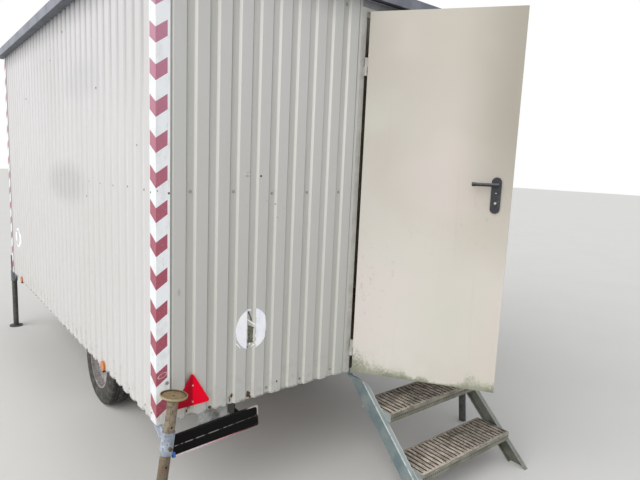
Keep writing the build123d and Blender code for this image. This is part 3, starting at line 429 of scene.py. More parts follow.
def make_stringer(name, cool, warm, dust, web_x, inwards, rubbed):
    """Zinc-coated stringer with painted highlights along its flange's top, its fold and its free edge."""
    look, film = start_zinc(name, cool, warm, (0.84, 0.86, 0.88, 1.0), 0.5, "#968e7e", dust)
    x, y, z = look.axes()
    behind = (y - (DOOR_END + STRINGER_BACK)) * -math.sin(STRINGER_SLOPE)
    across = behind + (z - (WALL_BOTTOM + STRINGER_TOP)) * math.cos(STRINGER_SLOPE)
    depth = (x - web_x) * inwards
    # Painted highlights along the flange's top, the fold and the free edge; rubbed sets their strength
    flange_top_highlight = depth.span(0.0006, 0.0014) * across.span(STRINGER_WEB - 0.0006, STRINGER_WEB - 0.0001)
    look.cover("#b0baba", flange_top_highlight * (rubbed * 0.75))
    fold = abs(across - STRINGER_WEB).span(0.006, 0.0025) * depth.span(0.006, 0.0035)
    free_edge_highlight = depth.span(STRINGER_FLANGE - 0.0045, STRINGER_FLANGE - 0.002)
    bright = fold.larger(free_edge_highlight) * look.noise(30, 5, shift=(8, 0, 0)).span(0.28, 0.5)
    look.cover("#e0e6e6", bright * rubbed)
    look.cover("#685c4a", z.span(0.16, 0.0) * look.noise(28, 6).span(0.4, 0.62) * 0.7)
    return look.finish(film * 0.3 + 0.42, 0.4 - film * 0.3)


def make_tread_steel(name, low, high):
    """Slotted tread plank: pale dusty bars, painted shade in the slots and small holes along the nose
    painted dark as shade.
    """
    look = Look(name)
    x, y, z = look.axes()
    from_left = x - low.x
    from_right = high.x - x
    behind_nose = y - low.y
    below_top = high.z - z
    clouds = look.noise(8, 6, 0.65)
    look.base("#a69c8e", "#80786c", clouds.span(0.42, 0.66))
    # Trodden clean at the left and in front, dirty towards the rear right corner
    far = x.span(low.x + 0.15, high.x) + y.span(low.y + 0.04, high.y) * 0.6
    bars = look.noise(60, 5, 0.7, stretch=(1, 0.3, 1)).span(0.4, 0.62)
    look.cover("#eee0d2", bars * (0.9 - far * 0.5))
    caked = (look.noise(4.2, 3, shift=(1, 0, 3)) + far * 0.22).span(0.5, 0.72)
    soil = look.noise(34, 7, 0.7, shift=(2, 2, 0)).span(0.44, 0.62) * caked
    look.cover("#544a3e", soil * 0.8)
    # Soil and painted shade on the short bridges between the slots of a row
    in_row = abs(from_left % SLOT_PITCH - SLOT_PITCH / 2).span(0.0065, 0.005)
    for bridge in SLOT_BRIDGES:
        look.cover("#3a322c", in_row * abs(behind_nose - bridge).span(0.0045, 0.003) * 0.8)
    # The lip in front: duller, with a row of holes painted dark as shade and a rubbed upper edge
    on_lip = behind_nose.span(0.0015, 0.0008)
    lip = look.mix("#929084", "#78776c", clouds.span(0.4, 0.6))
    scraped = look.noise(9, 4, stretch=(1, 1, 0.2), shift=(5, 0, 0)).span(0.46, 0.6)
    scraped = abs(below_top - 0.012).span(0.006, 0.003) * scraped
    look.cover(look.mix(lip, "#c4baac", scraped * 0.6), on_lip)
    along = from_left.there_and_back(LIP_HOLE_PITCH / 2) - LIP_HOLE_PITCH / 4
    off = hypotenuse(along, below_top - LIP_HOLE_DROP)
    hole = off.span(LIP_HOLE_RADIUS + 0.0006, LIP_HOLE_RADIUS - 0.0006) * on_lip
    look.cover("#302c28", hole * 0.9)
    rubbed = behind_nose.span(0.005, 0.001) * look.noise(40, 4).span(0.35, 0.6)
    look.cover("#d8d0c6", rubbed * below_top.span(0.004, 0.001) * 0.7)
    # Painted shade inside the slots, and zinc on the plank's end plates
    inside = behind_nose.span(0.004, 0.006) * (high.y - y).span(0.012, 0.02)
    inside = inside * from_left.span(0.004, 0.006) * from_right.span(0.004, 0.006)
    slots = below_top.span(0.0004, 0.0016) * inside
    look.cover("#1e1a17", slots * 0.95)
    zinc = look.mix("#96a0a0", "#787e7a", clouds.span(0.4, 0.6))
    look.cover(zinc, from_left.smaller(from_right).span(0.0034, 0.0026) * 0.85)
    look.bump(soil, 0.001, 0.5)
    look.grain(170, 4, 0.0004, 0.5)
    return look.finish(clouds * 0.3 + 0.5, (1.0 - slots) * 0.2)


def make_tube_rust():
    """Prop tubes: zinc worn to beige and brown, redder towards the ground."""
    look = Look("tube_rust")
    x, y, z = look.axes()
    height = z - WALL_BOTTOM
    grain = look.noise(48, 8, 0.72)
    clouds = look.noise(10, 5, 0.6, shift=(1, 3, 0))
    look.base("#948775", "#605444", grain.span(0.42, 0.64))
    low = height.span(-0.06, -0.16)
    look.cover("#685e4c", low * 0.7)
    rust = (low * clouds.span(0.44, 0.66)).larger(clouds.span(0.62, 0.72))
    look.cover("#764e38", rust * 0.75)
    look.cover("#3e2e22", grain.span(0.64, 0.74) * 0.6)
    # The two dishes at the door end: olive, a ring of dirt and painted shade inside a paler rim, a darker
    # side and a hole painted dark as shade in the middle
    reach = look.distance(DISH_MIDDLE, look.field("CombineXYZ", {0: abs(x), 1: y, 2: z}))
    on_dish = reach.span(0.064, 0.062) * height.span(0.128, 0.134)
    look.cover(look.mix("#9e8b68", "#806e52", grain.span(0.4, 0.66)), on_dish)
    ring = reach.span(0.049, 0.052) * reach.span(0.058, 0.0565)
    look.cover("#4a3e2c", ring * on_dish * 0.75)
    dish_side = height.span(DISH_HEIGHT - 0.001, DISH_HEIGHT - 0.003) * on_dish
    look.cover("#685c40", dish_side * 0.85)
    rim = reach.span(0.0572, 0.059) * on_dish * (1.0 - dish_side)
    look.cover("#b4aa8a", rim * 0.65)
    look.cover("#34241c", reach.span(0.0075, 0.006) * 0.95)
    # Every prop but the near-left one is darkened to slate grey; on the right-hand ones this is painted
    # shade
    slate = look.mix("#52585a", "#3a3e40", grain.span(0.4, 0.6))
    look.cover(slate, x.span(0.0, 0.2).larger(y.span(MIDDLE_Y, MIDDLE_Y + 0.2)) * 0.8)
    look.bump(grain, 0.0012, 0.6)
    return look.finish(0.78, (1.0 - rust) * 0.15)


def make_bracket_paint():
    """Pale blue-grey paint on the prop sleeves, pitted with rust; the drawbar end's pair is darker."""
    look = Look("bracket_paint")
    x, y, z = look.axes()
    mottle = look.noise(34, 6, 0.65)
    look.base("#86909e", "#b8c0cc", mottle.span(0.36, 0.66))
    dull = look.noise(90, 6, 0.75, shift=(1, 4, 2)).span(0.5, 0.68)
    look.cover("#686c70", dull * 0.6)
    pits = look.cells(78).span(0.26, 0.12)
    look.cover("#302c2c", pits * mottle.span(0.42, 0.56))
    look.cover("#7c523c", look.noise(60, 6, shift=(4, 4, 1)).span(0.62, 0.7) * 0.7)
    slate = look.mix("#606668", "#404446", mottle.span(0.4, 0.6))
    look.cover(slate, y.span(MIDDLE_Y, MIDDLE_Y + 0.2) * 0.85)
    look.bump(mottle - pits, 0.0008, 0.5)
    return look.finish(0.6)


def make_door_paint():
    """Cream door paint, mottled, with algae growing up from the lower edge."""
    look = Look("door_paint")
    x, y, z = look.axes()
    run = (x - PIVOT.x) * LEAF_ALONG.x + (y - PIVOT.y) * LEAF_ALONG.y
    height = z - LEAF_BOTTOM
    broad = look.noise(1.3, 3, 0.5, shift=(2, 2, 1))
    look.base("#d1ccc3", "#cac4ba", broad.span(0.38, 0.62))
    # Painted shade, deepening towards the top
    look.cover("#beb8ad", height.span(0.9, 1.9))
    rosy = look.noise(1.7, 2, 0.4, shift=(4, 1, 7))
    look.cover("#d3c9c3", rosy.span(0.52, 0.66) * 0.5)
    look.cover("#cbcbbe", rosy.span(0.46, 0.32) * 0.6)
    # Painted shade towards the upper free edge, lighter towards the lower hinge
    shaded = run.span(LEAF_EDGE - 0.34, LEAF_EDGE) * height.span(0.5, 1.5)
    look.cover("#9e988b", shaded * 0.85)
    look.cover("#e3dcd7", height.span(1.1, 0.45) * run.span(0.62, 0.05) * 0.75)
    look.cover("#bcb5a9", look.noise(16, 5, stretch=(1, 1, 0.06)).span(0.55, 0.8) * 0.25)
    smeared = look.noise(2.2, 2, shift=(3, 3, 3)).span(0.52, 0.66)
    smear = look.noise(30, 6, 0.7, shift=(6, 0, 0)).span(0.55, 0.7) * smeared
    look.cover("#aaa08e", smear * 0.4)
    # Algae: high at the hinge corner, in low patches along the edge and again at the free corner
    hinge_corner = run.span(0.22, -0.03) * 0.19
    free_corner = run.span(LEAF_EDGE - 0.3, LEAF_EDGE - 0.05) * 0.055
    patches = look.noise(7, 3, stretch=(1, 1, 0.4)).span(0.45, 0.62) * 0.055
    share = height / (hinge_corner + free_corner + patches + 0.01)
    spotty = look.noise(75, 7, 0.75, shift=(0, 1, 0))
    grown = (share + spotty * 2.2 - 1.1).span(1.0, 0.15)
    green = look.mix("#92977e", "#546042", share.span(0.9, 0.0))
    look.cover(green, grown * 0.84)
    haze = height.span(0.3, 0.02) * look.noise(5, 4, shift=(1, 2, 5)).span(0.38, 0.62)
    look.cover("#c6c3b4", haze * 0.32)
    look.bump(grown * spotty, 0.001, 0.5)
    look.grain(200, 2, 0.0002, 0.4)
    look.bump(broad, 0.005, 0.3)
    return look.finish(grown * 0.4 + 0.4)


def make_painted(name, first, second, dirt, roughness=0.5):
    """Plain paint with slight mottling and dirt."""
    look = Look(name)
    look.base(first, second, look.noise(12, 5, 0.6).span(0.38, 0.66))
    spots = look.noise(48, 7, 0.7, shift=(3, 1, 2)).span(0.56, 0.7)
    look.cover(dirt, spots * 0.5)
    look.grain(180, 3, 0.0003, 0.4)
    return look.finish(spots * 0.2 + roughness)


def make_plastic(name, tone, worn, roughness, specular=0.5):
    """Moulded plastic with a fine grain and rubbed patches."""
    look = Look(name, specular=specular)
    rubbed = look.noise(50, 5, 0.6).span(0.52, 0.72)
    look.base(tone, worn, rubbed * 0.5)
    # Upward faces take the worn tone: dust there, and a painted sheen of the sky
    look.cover(worn, look.upward() * 0.9)
    look.grain(900, 2, 0.0001, 0.5)
    return look.finish(rubbed * 0.18 + roughness)


def make_carrier_plastic():
    """Black carrier: faded dashes between its rows, a worn pale rim at its upper right corner."""
    look = Look("carrier_plastic", specular=0.2)
    x, y, z = look.axes()
    right = x - CARRIER_ORIGIN.x
    raised = z - CARRIER_ORIGIN.z
    run = right * CARRIER_RUN.x + raised * CARRIER_RUN.z
    down = right * CARRIER_DOWN.x + raised * CARRIER_DOWN.z
    wear = look.noise(60, 6, 0.7)
    look.base("#181818", "#282625", wear.span(0.45, 0.7))
    between = abs(down - CARRIER_HEIGHT / 2).span(0.003, 0.0018)
    dashes = look.noise(45, 3, stretch=(1, 1, 0.2), shift=(0, 4, 1)).span(0.44, 0.52)
    look.cover("#b0aaa6", between * dashes * (0.75 - run.span(0.15, 0.42) * 0.6))
    past_right = (run - (CARRIER_WIDTH - CARRIER_CORNER)).larger(0.0)
    past_top = (CARRIER_CORNER - down).larger(0.0)
    from_rim = CARRIER_CORNER - hypotenuse(past_right, past_top)
    rim = from_rim.span(0.0075, 0.0055) * down.span(0.062, 0.046)
    rim = rim * run.span(CARRIER_WIDTH - 0.075, CARRIER_WIDTH - 0.045)
    look.cover("#ccc4c0", rim * 0.85)
    look.grain(700, 2, 0.0001, 0.5)
    return look.finish(wear * 0.2 + 0.45)


def make_reflector_red(middle_x):
    """Prismatic reflector: its left field dull, its right field lit up."""
    look = Look("reflector_red", roughness=0.4, specular=0.08)
    x, y, z = look.axes()
    right = x.span(middle_x - 0.006, middle_x + 0.006)
    prism = look.cells(420)
    dull = look.mix("#be0a28", "#a40822", prism.span(0.2, 0.6))
    bright = look.mix("#e80028", "#d40022", prism.span(0.3, 0.7))
    look.base(dull, bright, right)
    # A painted glow, stronger on the lit right field
    look.glow(right * 0.26 + 0.04)
    look.bump(prism, 0.0005, 0.5)
    return look.finish()


def make_reflector_amber():
    """Round lens with a cell-moulded back."""
    look = Look("reflector_amber", roughness=0.2)
    prism = look.cells(380)
    look.base("#a6521a", "#d8843a", prism.span(0.2, 0.65))
    look.bump(prism, 0.0005, 0.5)
    return look.finish()


def around_wheel(look):
    """The place's radius about the wheels' axis, and its angle there."""
    x, y, z = look.axes()
    across = y - WHEEL_Y
    up = z - WHEEL_Z
    return hypotenuse(across, up), look.math("ARCTAN2", up, across)


def make_tyre_rubber():
    """Aged rubber with moulded rings on its sidewall, cross cuts painted dark as shade and dust on the
    tread.
    """
    look = Look("tyre_rubber")
    radius, angle = around_wheel(look)
    dust = look.noise(24, 6, 0.65)
    look.base("#343434", "#5c5850", dust.span(0.4, 0.7))
    rings = look.math("SINE", radius * (2 * math.pi / 0.006)).span(0.2, 0.9)
    look.bump(rings * radius.span(0.298, 0.288), 0.0006, 0.5)
    # Cross cuts, painted dark as shade
    cuts = look.math("SINE", angle * 74.0).span(-0.75, -0.95) * radius.span(0.3, 0.304)
    look.cover("#161616", cuts * 0.9)
    look.bump(cuts * -1.0, 0.004, 0.8)
    look.grain(220, 3, 0.0003, 0.5)
    return look.finish(dust * 0.15 + 0.72)


def make_rim_paint():
    """Faded rim paint with brake dust towards its worn edge and rust round the bolts."""
    look = Look("rim_paint")
    radius, angle = around_wheel(look)
    look.base("#b6b3b6", "#989495", look.noise(14, 6, 0.65).span(0.38, 0.66))
    dust = radius.span(0.12, 0.172) * look.noise(30, 5).span(0.34, 0.6)
    look.cover("#746a60", dust * 0.65)
    look.cover("#c4c0be", radius.span(0.186, 0.189) * 0.6)
    rust = radius.span(0.066, 0.038) * look.noise(48, 6, 0.7).span(0.44, 0.6)
    look.cover("#744c32", rust * 0.75)
    look.grain(180, 3, 0.0003, 0.4)
    return look.finish(dust * 0.3 + 0.48)


# Widths of the lining boards and the floor's sheets, and a shift that keeps every distance above zero
BOARD_WIDTH = 1.22
SHEET_WIDTH = 1.25
BEFORE_ZERO = 20.0


def make_wall_board():
    """Faced lining board with joints at a pitch along the walls."""
    look = Look("wall_board")
    x, y, z = look.axes()
    grain = look.noise(30, 6, stretch=(1, 1, 0.06))
    look.base("#dedad0", "#d2cdc2", grain.span(0.4, 0.68))
    joint = (x + y + BEFORE_ZERO).there_and_back(BOARD_WIDTH / 2).span(0.003, 0.001)
    look.cover("#96928a", joint)
    look.bump(joint * -1.0, 0.001, 0.6)
    look.bump(grain, 0.0004, 0.3)
    return look.finish()


def make_floor_board():
    """Worn sheet flooring on plywood."""
    look = Look("floor_board")
    x, y, z = look.axes()
    fibres = look.noise(26, 7, 0.65, stretch=(1, 0.08, 1))
    look.base("#8c7052", "#705840", fibres.span(0.36, 0.66))
    walked = look.noise(2.4, 4, 0.6)
    look.cover("#968874", walked.span(0.48, 0.66) * 0.5)
    joint = (y + BEFORE_ZERO).there_and_back(SHEET_WIDTH / 2).span(0.003, 0.001)
    look.cover("#3a2e24", joint * 0.9)
    look.bump(fibres, 0.0004, 0.4)
    return look.finish(walked * 0.2 + 0.5)


def make_roof_core():
    """White ceiling board inside; a dull grey soffit under the overhang, its dark tone partly painted shade.
    """
    look = Look("roof_core")
    x, y, z = look.axes()
    grain = look.noise(20, 6)
    ceiling = look.mix("#e2dfd7", "#d6d2c8", grain.span(0.4, 0.68))
    soffit = look.mix("#6c7078", "#5a5e65", grain.span(0.4, 0.64))
    past_side = abs(x).span(HALF_WIDTH - 0.013, HALF_WIDTH - 0.011)
    past_end = abs(y - MIDDLE_Y).span(HALF_LENGTH - 0.013, HALF_LENGTH - 0.011)
    look.base(ceiling, soffit, past_side.larger(past_end))
    look.bump(grain, 0.0004, 0.3)
    return look.finish(0.6)


def make_label_film():
    """Bleached label film, bluish in its middle, with a painted glow."""
    look = Look("label_film", roughness=0.35)
    look.base("#fdfdff", "#ecf0fe", look.noise(40, 4, 0.6).span(0.4, 0.62))
    look.cover("#d6d6de", look.noise(130, 5, 0.7).span(0.62, 0.74) * 0.5)
    look.glow(0.12)
    look.grain(90, 3, 0.0006, 0.5)
    return look.finish()


def make_strip_film():
    """Faded strip: pale at the left, pink and then dark red to the right."""
    look = Look("strip_film")
    x, y, z = look.axes()
    run = x - CARRIER_ORIGIN.x
    look.base("#eee2e6", "#d696a4", run.span(0.1, 0.3))
    look.cover("#6e222c", run.span(0.28, 0.42))
    look.cover("#b27886", look.noise(60, 6, 0.7).span(0.52, 0.66) * 0.6)
    return look.finish()


def make_stain(name, deep, pale, scale):
    """Blotchy caked dirt or rust, and the painted shade in holes."""
    look = Look(name, roughness=0.85, specular=0.25)
    cloud = look.noise(scale, detail=7, roughness=0.7)
    look.base(deep, pale, cloud.span(0.38, 0.64))
    look.bump(cloud, 0.001, 0.6)
    return look.finish()


triangle_low, triangle_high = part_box("triangle_reflector")
triangle_x = (triangle_low.x + triangle_high.x) / 2
left_stringer_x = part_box("stair_stringer_left")[0].x
right_stringer_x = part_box("stair_stringer_right")[1].x
tyre_rubber = make_tyre_rubber()
black_plastic = make_plastic("black_plastic", "#22252a", "#5c6062", 0.36)
plate_dark = make_plastic("plate_dark", "#080808", "#0e0d0d", 0.7, 0.15)

for material, node_names in (
    (make_sheet_paint(), "left_side_sheet right_side_sheet door_end_sheet drawbar_end_sheet"),
    (make_wall_board(), "left_wall_panel right_wall_panel door_end_panel drawbar_end_panel"),
    (make_chassis_paint(),
     "side_sills end_sills floor_joists chassis_rails drawbar_arms drawbar_head tow_eye axle"),
    (make_roof_core(), "roof_panel"),
    (make_roof_paint(), "roof_sheet"),
    (make_coated_grey("fascia_grey", "#8c8f9b", "#7a7d88"), "roof_fascia"),
    (make_coated_grey("drip_grey", "#96979c", "#84858a"), "drip_rail"),
    (make_trim_white(), "corner_trims"),
    (make_floor_board(), "floor_panel"),
    (make_bracket_paint(), "prop_brackets"),
    (make_tube_rust(), "prop_legs"),
    (make_painted("pin_steel", "#605448", "#463a2e", "#764a2c", 0.6), "prop_pins"),
    (make_painted("tab_rust", "#685442", "#523e2e", "#7c4c2c", 0.7), "reflector_tabs"),
    (make_painted("frame_paint", "#cccbc4", "#bcbbb4", "#807e74"), "door_frame"),
    (make_door_paint(), "door_leaf"),
    (make_painted("hinge_zinc", "#c6c6c0", "#acaca6", "#70685e", 0.4), "hinge_pins hinge_barrels"),
    # Each stringer's last number sets the strength of its painted highlights
    (make_stringer("stringer_clean", "#74868a", "#8a9799", 0.3, left_stringer_x, 1.0, 0.92),
     "stair_stringer_left"),
    (make_stringer("stringer_dusty", "#7a7e75", "#6a6e65", 0.45, right_stringer_x, -1.0, 0.3),
     "stair_stringer_right"),
    (make_tread_steel("tread_upper_steel", *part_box("stair_tread_upper")), "stair_tread_upper"),
    (make_tread_steel("tread_lower_steel", *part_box("stair_tread_lower")), "stair_tread_lower"),
    (make_hanger_zinc(), "plate_hanger"),
    (make_carrier_plastic(), "plate_carrier"),
    (plate_dark, "blank_plates"),
    (make_rim_paint(), "left_rim right_rim"),
    (tyre_rubber, "left_tyre right_tyre"),
    (black_plastic, "lock_plates lever_handle"),
    (make_reflector_red(triangle_x), "triangle_reflector"),
    (make_reflector_amber(), "side_reflectors"),
):
    for node_name in node_names.split():
        node = frame["nodes"][node_name]
        node.data.materials.clear()
        node.data.materials.append(material)


# Geometry helpers

def link_object(name, data):
    placed = bpy.data.objects.new(name, data)
    bpy.context.scene.collection.objects.link(placed)
    return placed


def add_mesh(name, mesh_data, material):
    """Turn a bmesh into an object."""
    mesh = bpy.data.meshes.new(name)
    mesh_data.to_mesh(mesh)
    mesh_data.free()
    mesh.materials.append(material)
    return link_object(name, mesh)


def add_piece(name, mesh_data, material, body="root"):
    """Turn a bmesh into a piece that rides on a body, with the given material."""
    piece = add_mesh(name, mesh_data, material)
    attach(piece, body)


def facing(origin, outwards, up=UP):
    """A frame at origin with its Z outwards and its Y as near up as it can be."""
    z_axis = Vector(outwards).normalized()
    x_axis = Vector(up).cross(z_axis).normalized()
    turn = Matrix((x_axis, z_axis.cross(x_axis), z_axis)).transposed().to_4x4()
    return Matrix.Translation(origin) @ turn


def circle(radii, start, finish, count, middle=(0, 0)):
    """Points along an ellipse from one angle to another, both ends included."""
    points = []
    for number in range(count + 1):
        angle = start + (finish - start) * number / count
        points.append((middle[0] + radii[0] * math.cos(angle), middle[1] + radii[1] * math.sin(angle)))
    return points


def add_face(mesh_data, points):
    mesh_data.faces.new([mesh_data.verts.new(point) for point in points])


def add_turned(mesh_data, place, rings, corners, turn=0.0):
    """A turned solid without a foot: rings are (radius, height) from its foot to its top."""
    loops = []
    for radius, height in rings:
        points = circle((radius, radius), turn, turn + 2 * math.pi, corners)[:-1]
        loops.append([mesh_data.verts.new(place @ Vector((x, y, height))) for x, y in points])
    for lower, upper in zip(loops, loops[1:]):
        for number in range(corners):
            after = (number + 1) % corners
            mesh_data.faces.new((lower[number], lower[after], upper[after], upper[number]))
    mesh_data.faces.new(loops[-1])


def add_screw(mesh_data, place, washer=0.0075, head=0.0042, turn=0.0):
    """A hexagon-headed sheet screw on its washer."""
    dome = [(washer, 0.0), (washer * 0.96, 0.001), (washer * 0.7, 0.0016), (head * 1.2, 0.0017)]
    add_turned(mesh_data, place, dome, 14)
    flange = head * 1.15
    hexagon = [(flange, 0.0016), (flange, 0.0022), (head, 0.0023), (head, 0.0052), (head * 0.8, 0.0058)]
    add_turned(mesh_data, place, hexagon, 6, turn)


def add_block(mesh_data, low, high, place=Matrix.Identity(4)):
    """A box between two corners."""
    verts = [
        mesh_data.verts.new(place @ Vector((a, b, c)))
        for a in (low[0], high[0]) for b in (low[1], high[1]) for c in (low[2], high[2])
    ]
    for face in ((0, 1, 3, 2), (4, 6, 7, 5), (0, 4, 5, 1), (2, 3, 7, 6), (0, 2, 6, 4), (1, 5, 7, 3)):
        mesh_data.faces.new([verts[number] for number in face])


def inwards_at(run):
    """How far a wall sheet's face lies behind its ribs at a distance from the corner."""
    off = (run - FIRST_VALLEY + RIB_PITCH / 2) % RIB_PITCH - RIB_PITCH / 2
    return RIB_DEPTH - RIB_DEPTH * min(1.0, max(0.0, (abs(off) - RIB_VALLEY / 2) / RIB_WEB))


def on_door_end(run, height, lift=0.0):
    """A place on the door-end sheet, from its left corner and its foot."""
    return NEAR_CORNER + Vector((run, inwards_at(run) - lift, height))


def on_left_side(run, height, lift=0.0):
    """A place on the left side sheet, from its door-end corner and its foot."""
    return NEAR_CORNER + Vector((inwards_at(run) - lift, run, height))


def on_leaf(along, depth, height):
    """A place on the open leaf: along it from the pivot, towards the room, above the wall's foot."""
    return Vector((PIVOT.x, PIVOT.y, WALL_BOTTOM + height)) + LEAF_ALONG * along + LEAF_IN * depth


def lay_film(mesh_data, outline, surface=on_door_end, lift=0.0005):
    """A film over a wall sheet's ribs, with an outline of (run, height) points, its face outwards."""
    turns = zip(outline, [*outline[1:], outline[0]])
    leftwards = sum(first[0] * last[1] - last[0] * first[1] for first, last in turns) > 0
    film = bmesh.new()
    corners = outline if leftwards == (surface == on_door_end) else outline[::-1]
    add_face(film, [(run, 0.0, height) for run, height in corners])
    runs = [run for run, height in outline]
    first = math.floor((min(runs) - FIRST_VALLEY) / RIB_PITCH)
    last = math.ceil((max(runs) - FIRST_VALLEY) / RIB_PITCH)
    for number in range(first, last + 1):
        for off in (-RIB_VALLEY / 2 - RIB_WEB, -RIB_VALLEY / 2, RIB_VALLEY / 2, RIB_VALLEY / 2 + RIB_WEB):
            bmesh.ops.bisect_plane(
                film, geom=film.verts[:] + film.edges[:] + film.faces[:], dist=1e-6,
                plane_co=(FIRST_VALLEY + number * RIB_PITCH + off, 0, 0), plane_no=(1, 0, 0),
            )
    for vert in film.verts:
        vert.co = surface(vert.co.x, vert.co.z, lift)
    laid = bpy.data.meshes.new("film")
    film.to_mesh(laid)
    film.free()
    mesh_data.from_mesh(laid)
    bpy.data.meshes.remove(laid)


def torn_edge(start, finish, count, jitter):
    """Points between two ends, moved by chance; the ends stay out."""
    points = []
    for number in range(1, count):
        share = number / count
        points.append((
            start[0] + (finish[0] - start[0]) * share + dice.uniform(-jitter, jitter),
            start[1] + (finish[1] - start[1]) * share + dice.uniform(-jitter, jitter) / 2,
        ))
    return points


def blot(middle, radii, count, jitter):
    """A rough round patch."""
    points = []
    for number in range(count):
        angle = 2 * math.pi * number / count
        size = 1 + dice.uniform(-jitter, jitter)
        across = radii[0] * size * math.cos(angle)
        up = radii[1] * size * math.sin(angle)
        points.append((middle[0] + across, middle[1] + up))
    return points


# Chance places the screws, and dice tear the films: the order of their draws sets the shapes
chance = random.Random(4)
dice = random.Random(11)

# Chevrons on the four corner trims: V shapes that point down at the ridge
CHEVRON_PITCH = 0.1455
CHEVRON_LOWEST = 0.096
CHEVRON_COUNT = 14
CHEVRON_HEIGHT = 0.0625
CHEVRON_RISE = 0.036
CHEVRON_END_WIDTH = 0.0505
CHEVRON_SIDE_WIDTH = 0.0665
FILM = 0.0003

chevrons = bmesh.new()
for x_side, y_side in CORNERS:
    out = TRIM_THICKNESS + FILM
    ridge = Vector((x_side * (HALF_WIDTH + out), ENDS[y_side] + y_side * out, WALL_BOTTOM + CHEVRON_LOWEST))
    over_end = Vector((-x_side * CHEVRON_END_WIDTH, 0, CHEVRON_RISE))
    over_side = Vector((0, -y_side * CHEVRON_SIDE_WIDTH, CHEVRON_RISE))
    for number in range(CHEVRON_COUNT):
        top = ridge + UP * CHEVRON_PITCH * number
        foot = top - UP * CHEVRON_HEIGHT
        for outwards, reverse in ((over_end, x_side != y_side), (over_side, x_side == y_side)):
            outline = [foot, foot + outwards, top + outwards, top]
            add_face(chevrons, outline[::-1] if reverse else outline)
add_piece("corner_chevrons", chevrons, make_trim_red())

# Screws in every second valley of the wall sheets
SCREW_ROWS = (0.035, 1.035, 1.995)
SHEET_BEFORE_DOOR = 1.1
SHEET_MARGIN = 0.1
wall_screws = bmesh.new()


def valley_runs(length):
    """Every second valley's distance from the corner, up to a length."""
    count = math.ceil((length - FIRST_VALLEY) / RIB_PITCH)
    return [FIRST_VALLEY + number * RIB_PITCH for number in range(1, count, 2)]


def drive_screw(x, y, height, outwards):
    place = Vector((x, y, WALL_BOTTOM + height + chance.uniform(-0.004, 0.004)))
    add_screw(wall_screws, facing(place, outwards), turn=chance.uniform(0, 1))


for row in SCREW_ROWS:
    for run in valley_runs(2 * HALF_LENGTH - SHEET_MARGIN):
        for side in (-1, 1):
            drive_screw(side * (HALF_WIDTH - RIB_DEPTH), DOOR_END + run, row, (side, 0, 0))
    for run in valley_runs(SHEET_BEFORE_DOOR) + [RIGHT_STRIP_VALLEY]:
        drive_screw(run - HALF_WIDTH, DOOR_END + RIB_DEPTH, row, (0, -1, 0))
    for run in valley_runs(2 * HALF_WIDTH - SHEET_MARGIN):
        drive_screw(run - HALF_WIDTH, DRAWBAR_END - RIB_DEPTH, row, (0, 1, 0))
screw_paint = make_painted("screw_paint", "#a8a69e", "#8c887e", "#604c38")
add_piece("wall_screws", wall_screws, screw_paint)

# Small dark screws on the corner trims: on the side face, near the ridge and near the end face's edge
trim_screws = bmesh.new()
for row in SCREW_ROWS:
    for x_side, y_side in CORNERS:
        height = WALL_BOTTOM + row + chance.uniform(-0.004, 0.006)
        for inset_x, inset_y, rise, outwards, radius in (
            (-TRIM_THICKNESS, 0.0576, 0.0, (x_side, 0, 0), 0.004),
            (0.005, -TRIM_THICKNESS, 0.009, (0, y_side, 0), 0.0026),
            (0.0545, -TRIM_THICKNESS, 0.0, (0, y_side, 0), 0.005),
        ):
            place = Vector((x_side * (HALF_WIDTH - inset_x), ENDS[y_side] - y_side * inset_y, height + rise))
            rings = [(radius, 0.0), (radius * 0.95, 0.001), (radius * 0.55, 0.0017)]
            add_turned(trim_screws, facing(place, outwards), rings, 12)
screw_dark = make_painted("screw_dark", "#686662", "#4e4c48", "#403026")
add_piece("trim_screws", trim_screws, screw_dark)

# The door end's round label, torn open down its middle, with its scraps
LABEL_MIDDLE = (0.4825, 0.366)
LABEL_RADII = (0.0895, 0.1035)
LABEL_TEAR_LEFT = -0.0245
LABEL_TEAR_RIGHT = 0.0215
labels = bmesh.new()
left_angle = math.acos(LABEL_TEAR_LEFT / LABEL_RADII[0])
right_angle = math.acos(LABEL_TEAR_RIGHT / LABEL_RADII[0])
for start, finish, jitter in (
    (left_angle, 2 * math.pi - left_angle, 0.0035), (-right_angle, right_angle, 0.003)
):
    arc = circle(LABEL_RADII, start, finish, 30, LABEL_MIDDLE)
    lay_film(labels, arc + torn_edge(arc[-1], arc[0], 16, jitter))
for scrap in (
    ((0.456, 0.419), (0.462, 0.4095), (0.499, 0.381), (0.499, 0.3885), (0.468, 0.4105)),
    ((0.456, 0.4655), (0.456, 0.4585), (0.48, 0.4545), (0.4825, 0.4605), (0.4745, 0.4665)),
    blot((0.4765, 0.2865), (0.005, 0.0062), 9, 0.25),
    ((0.4835, 0.268), (0.4985, 0.279), (0.499, 0.285), (0.485, 0.2745)),
    ((0.3975, 0.308), (0.42, 0.279), (0.419, 0.274), (0.394, 0.302)),
):
    lay_film(labels, scrap)

# The side wall's far label: a bleached ring
RING_PARTS = 24
RING_MIDDLE = (3.372, 0.39)
RING_RADII = (0.122, 0.09)
RING_OPENING = (3.38, 0.389)
RING_OPENING_RADII = (0.086, 0.07)
for number in range(RING_PARTS):
    start = 2 * math.pi * number / RING_PARTS
    finish = start + 2 * math.pi / RING_PARTS
    worn = 1 + dice.uniform(-0.02, 0.01)
    outer = circle([radius * worn for radius in RING_RADII], start, finish, 3, RING_MIDDLE)
    worn = 1 + dice.uniform(-0.02, 0.03)
    inner = circle([radius * worn for radius in RING_OPENING_RADII], finish, start, 3, RING_OPENING)
    lay_film(labels, outer + inner, on_left_side)
add_piece("wall_labels", labels, make_label_film())

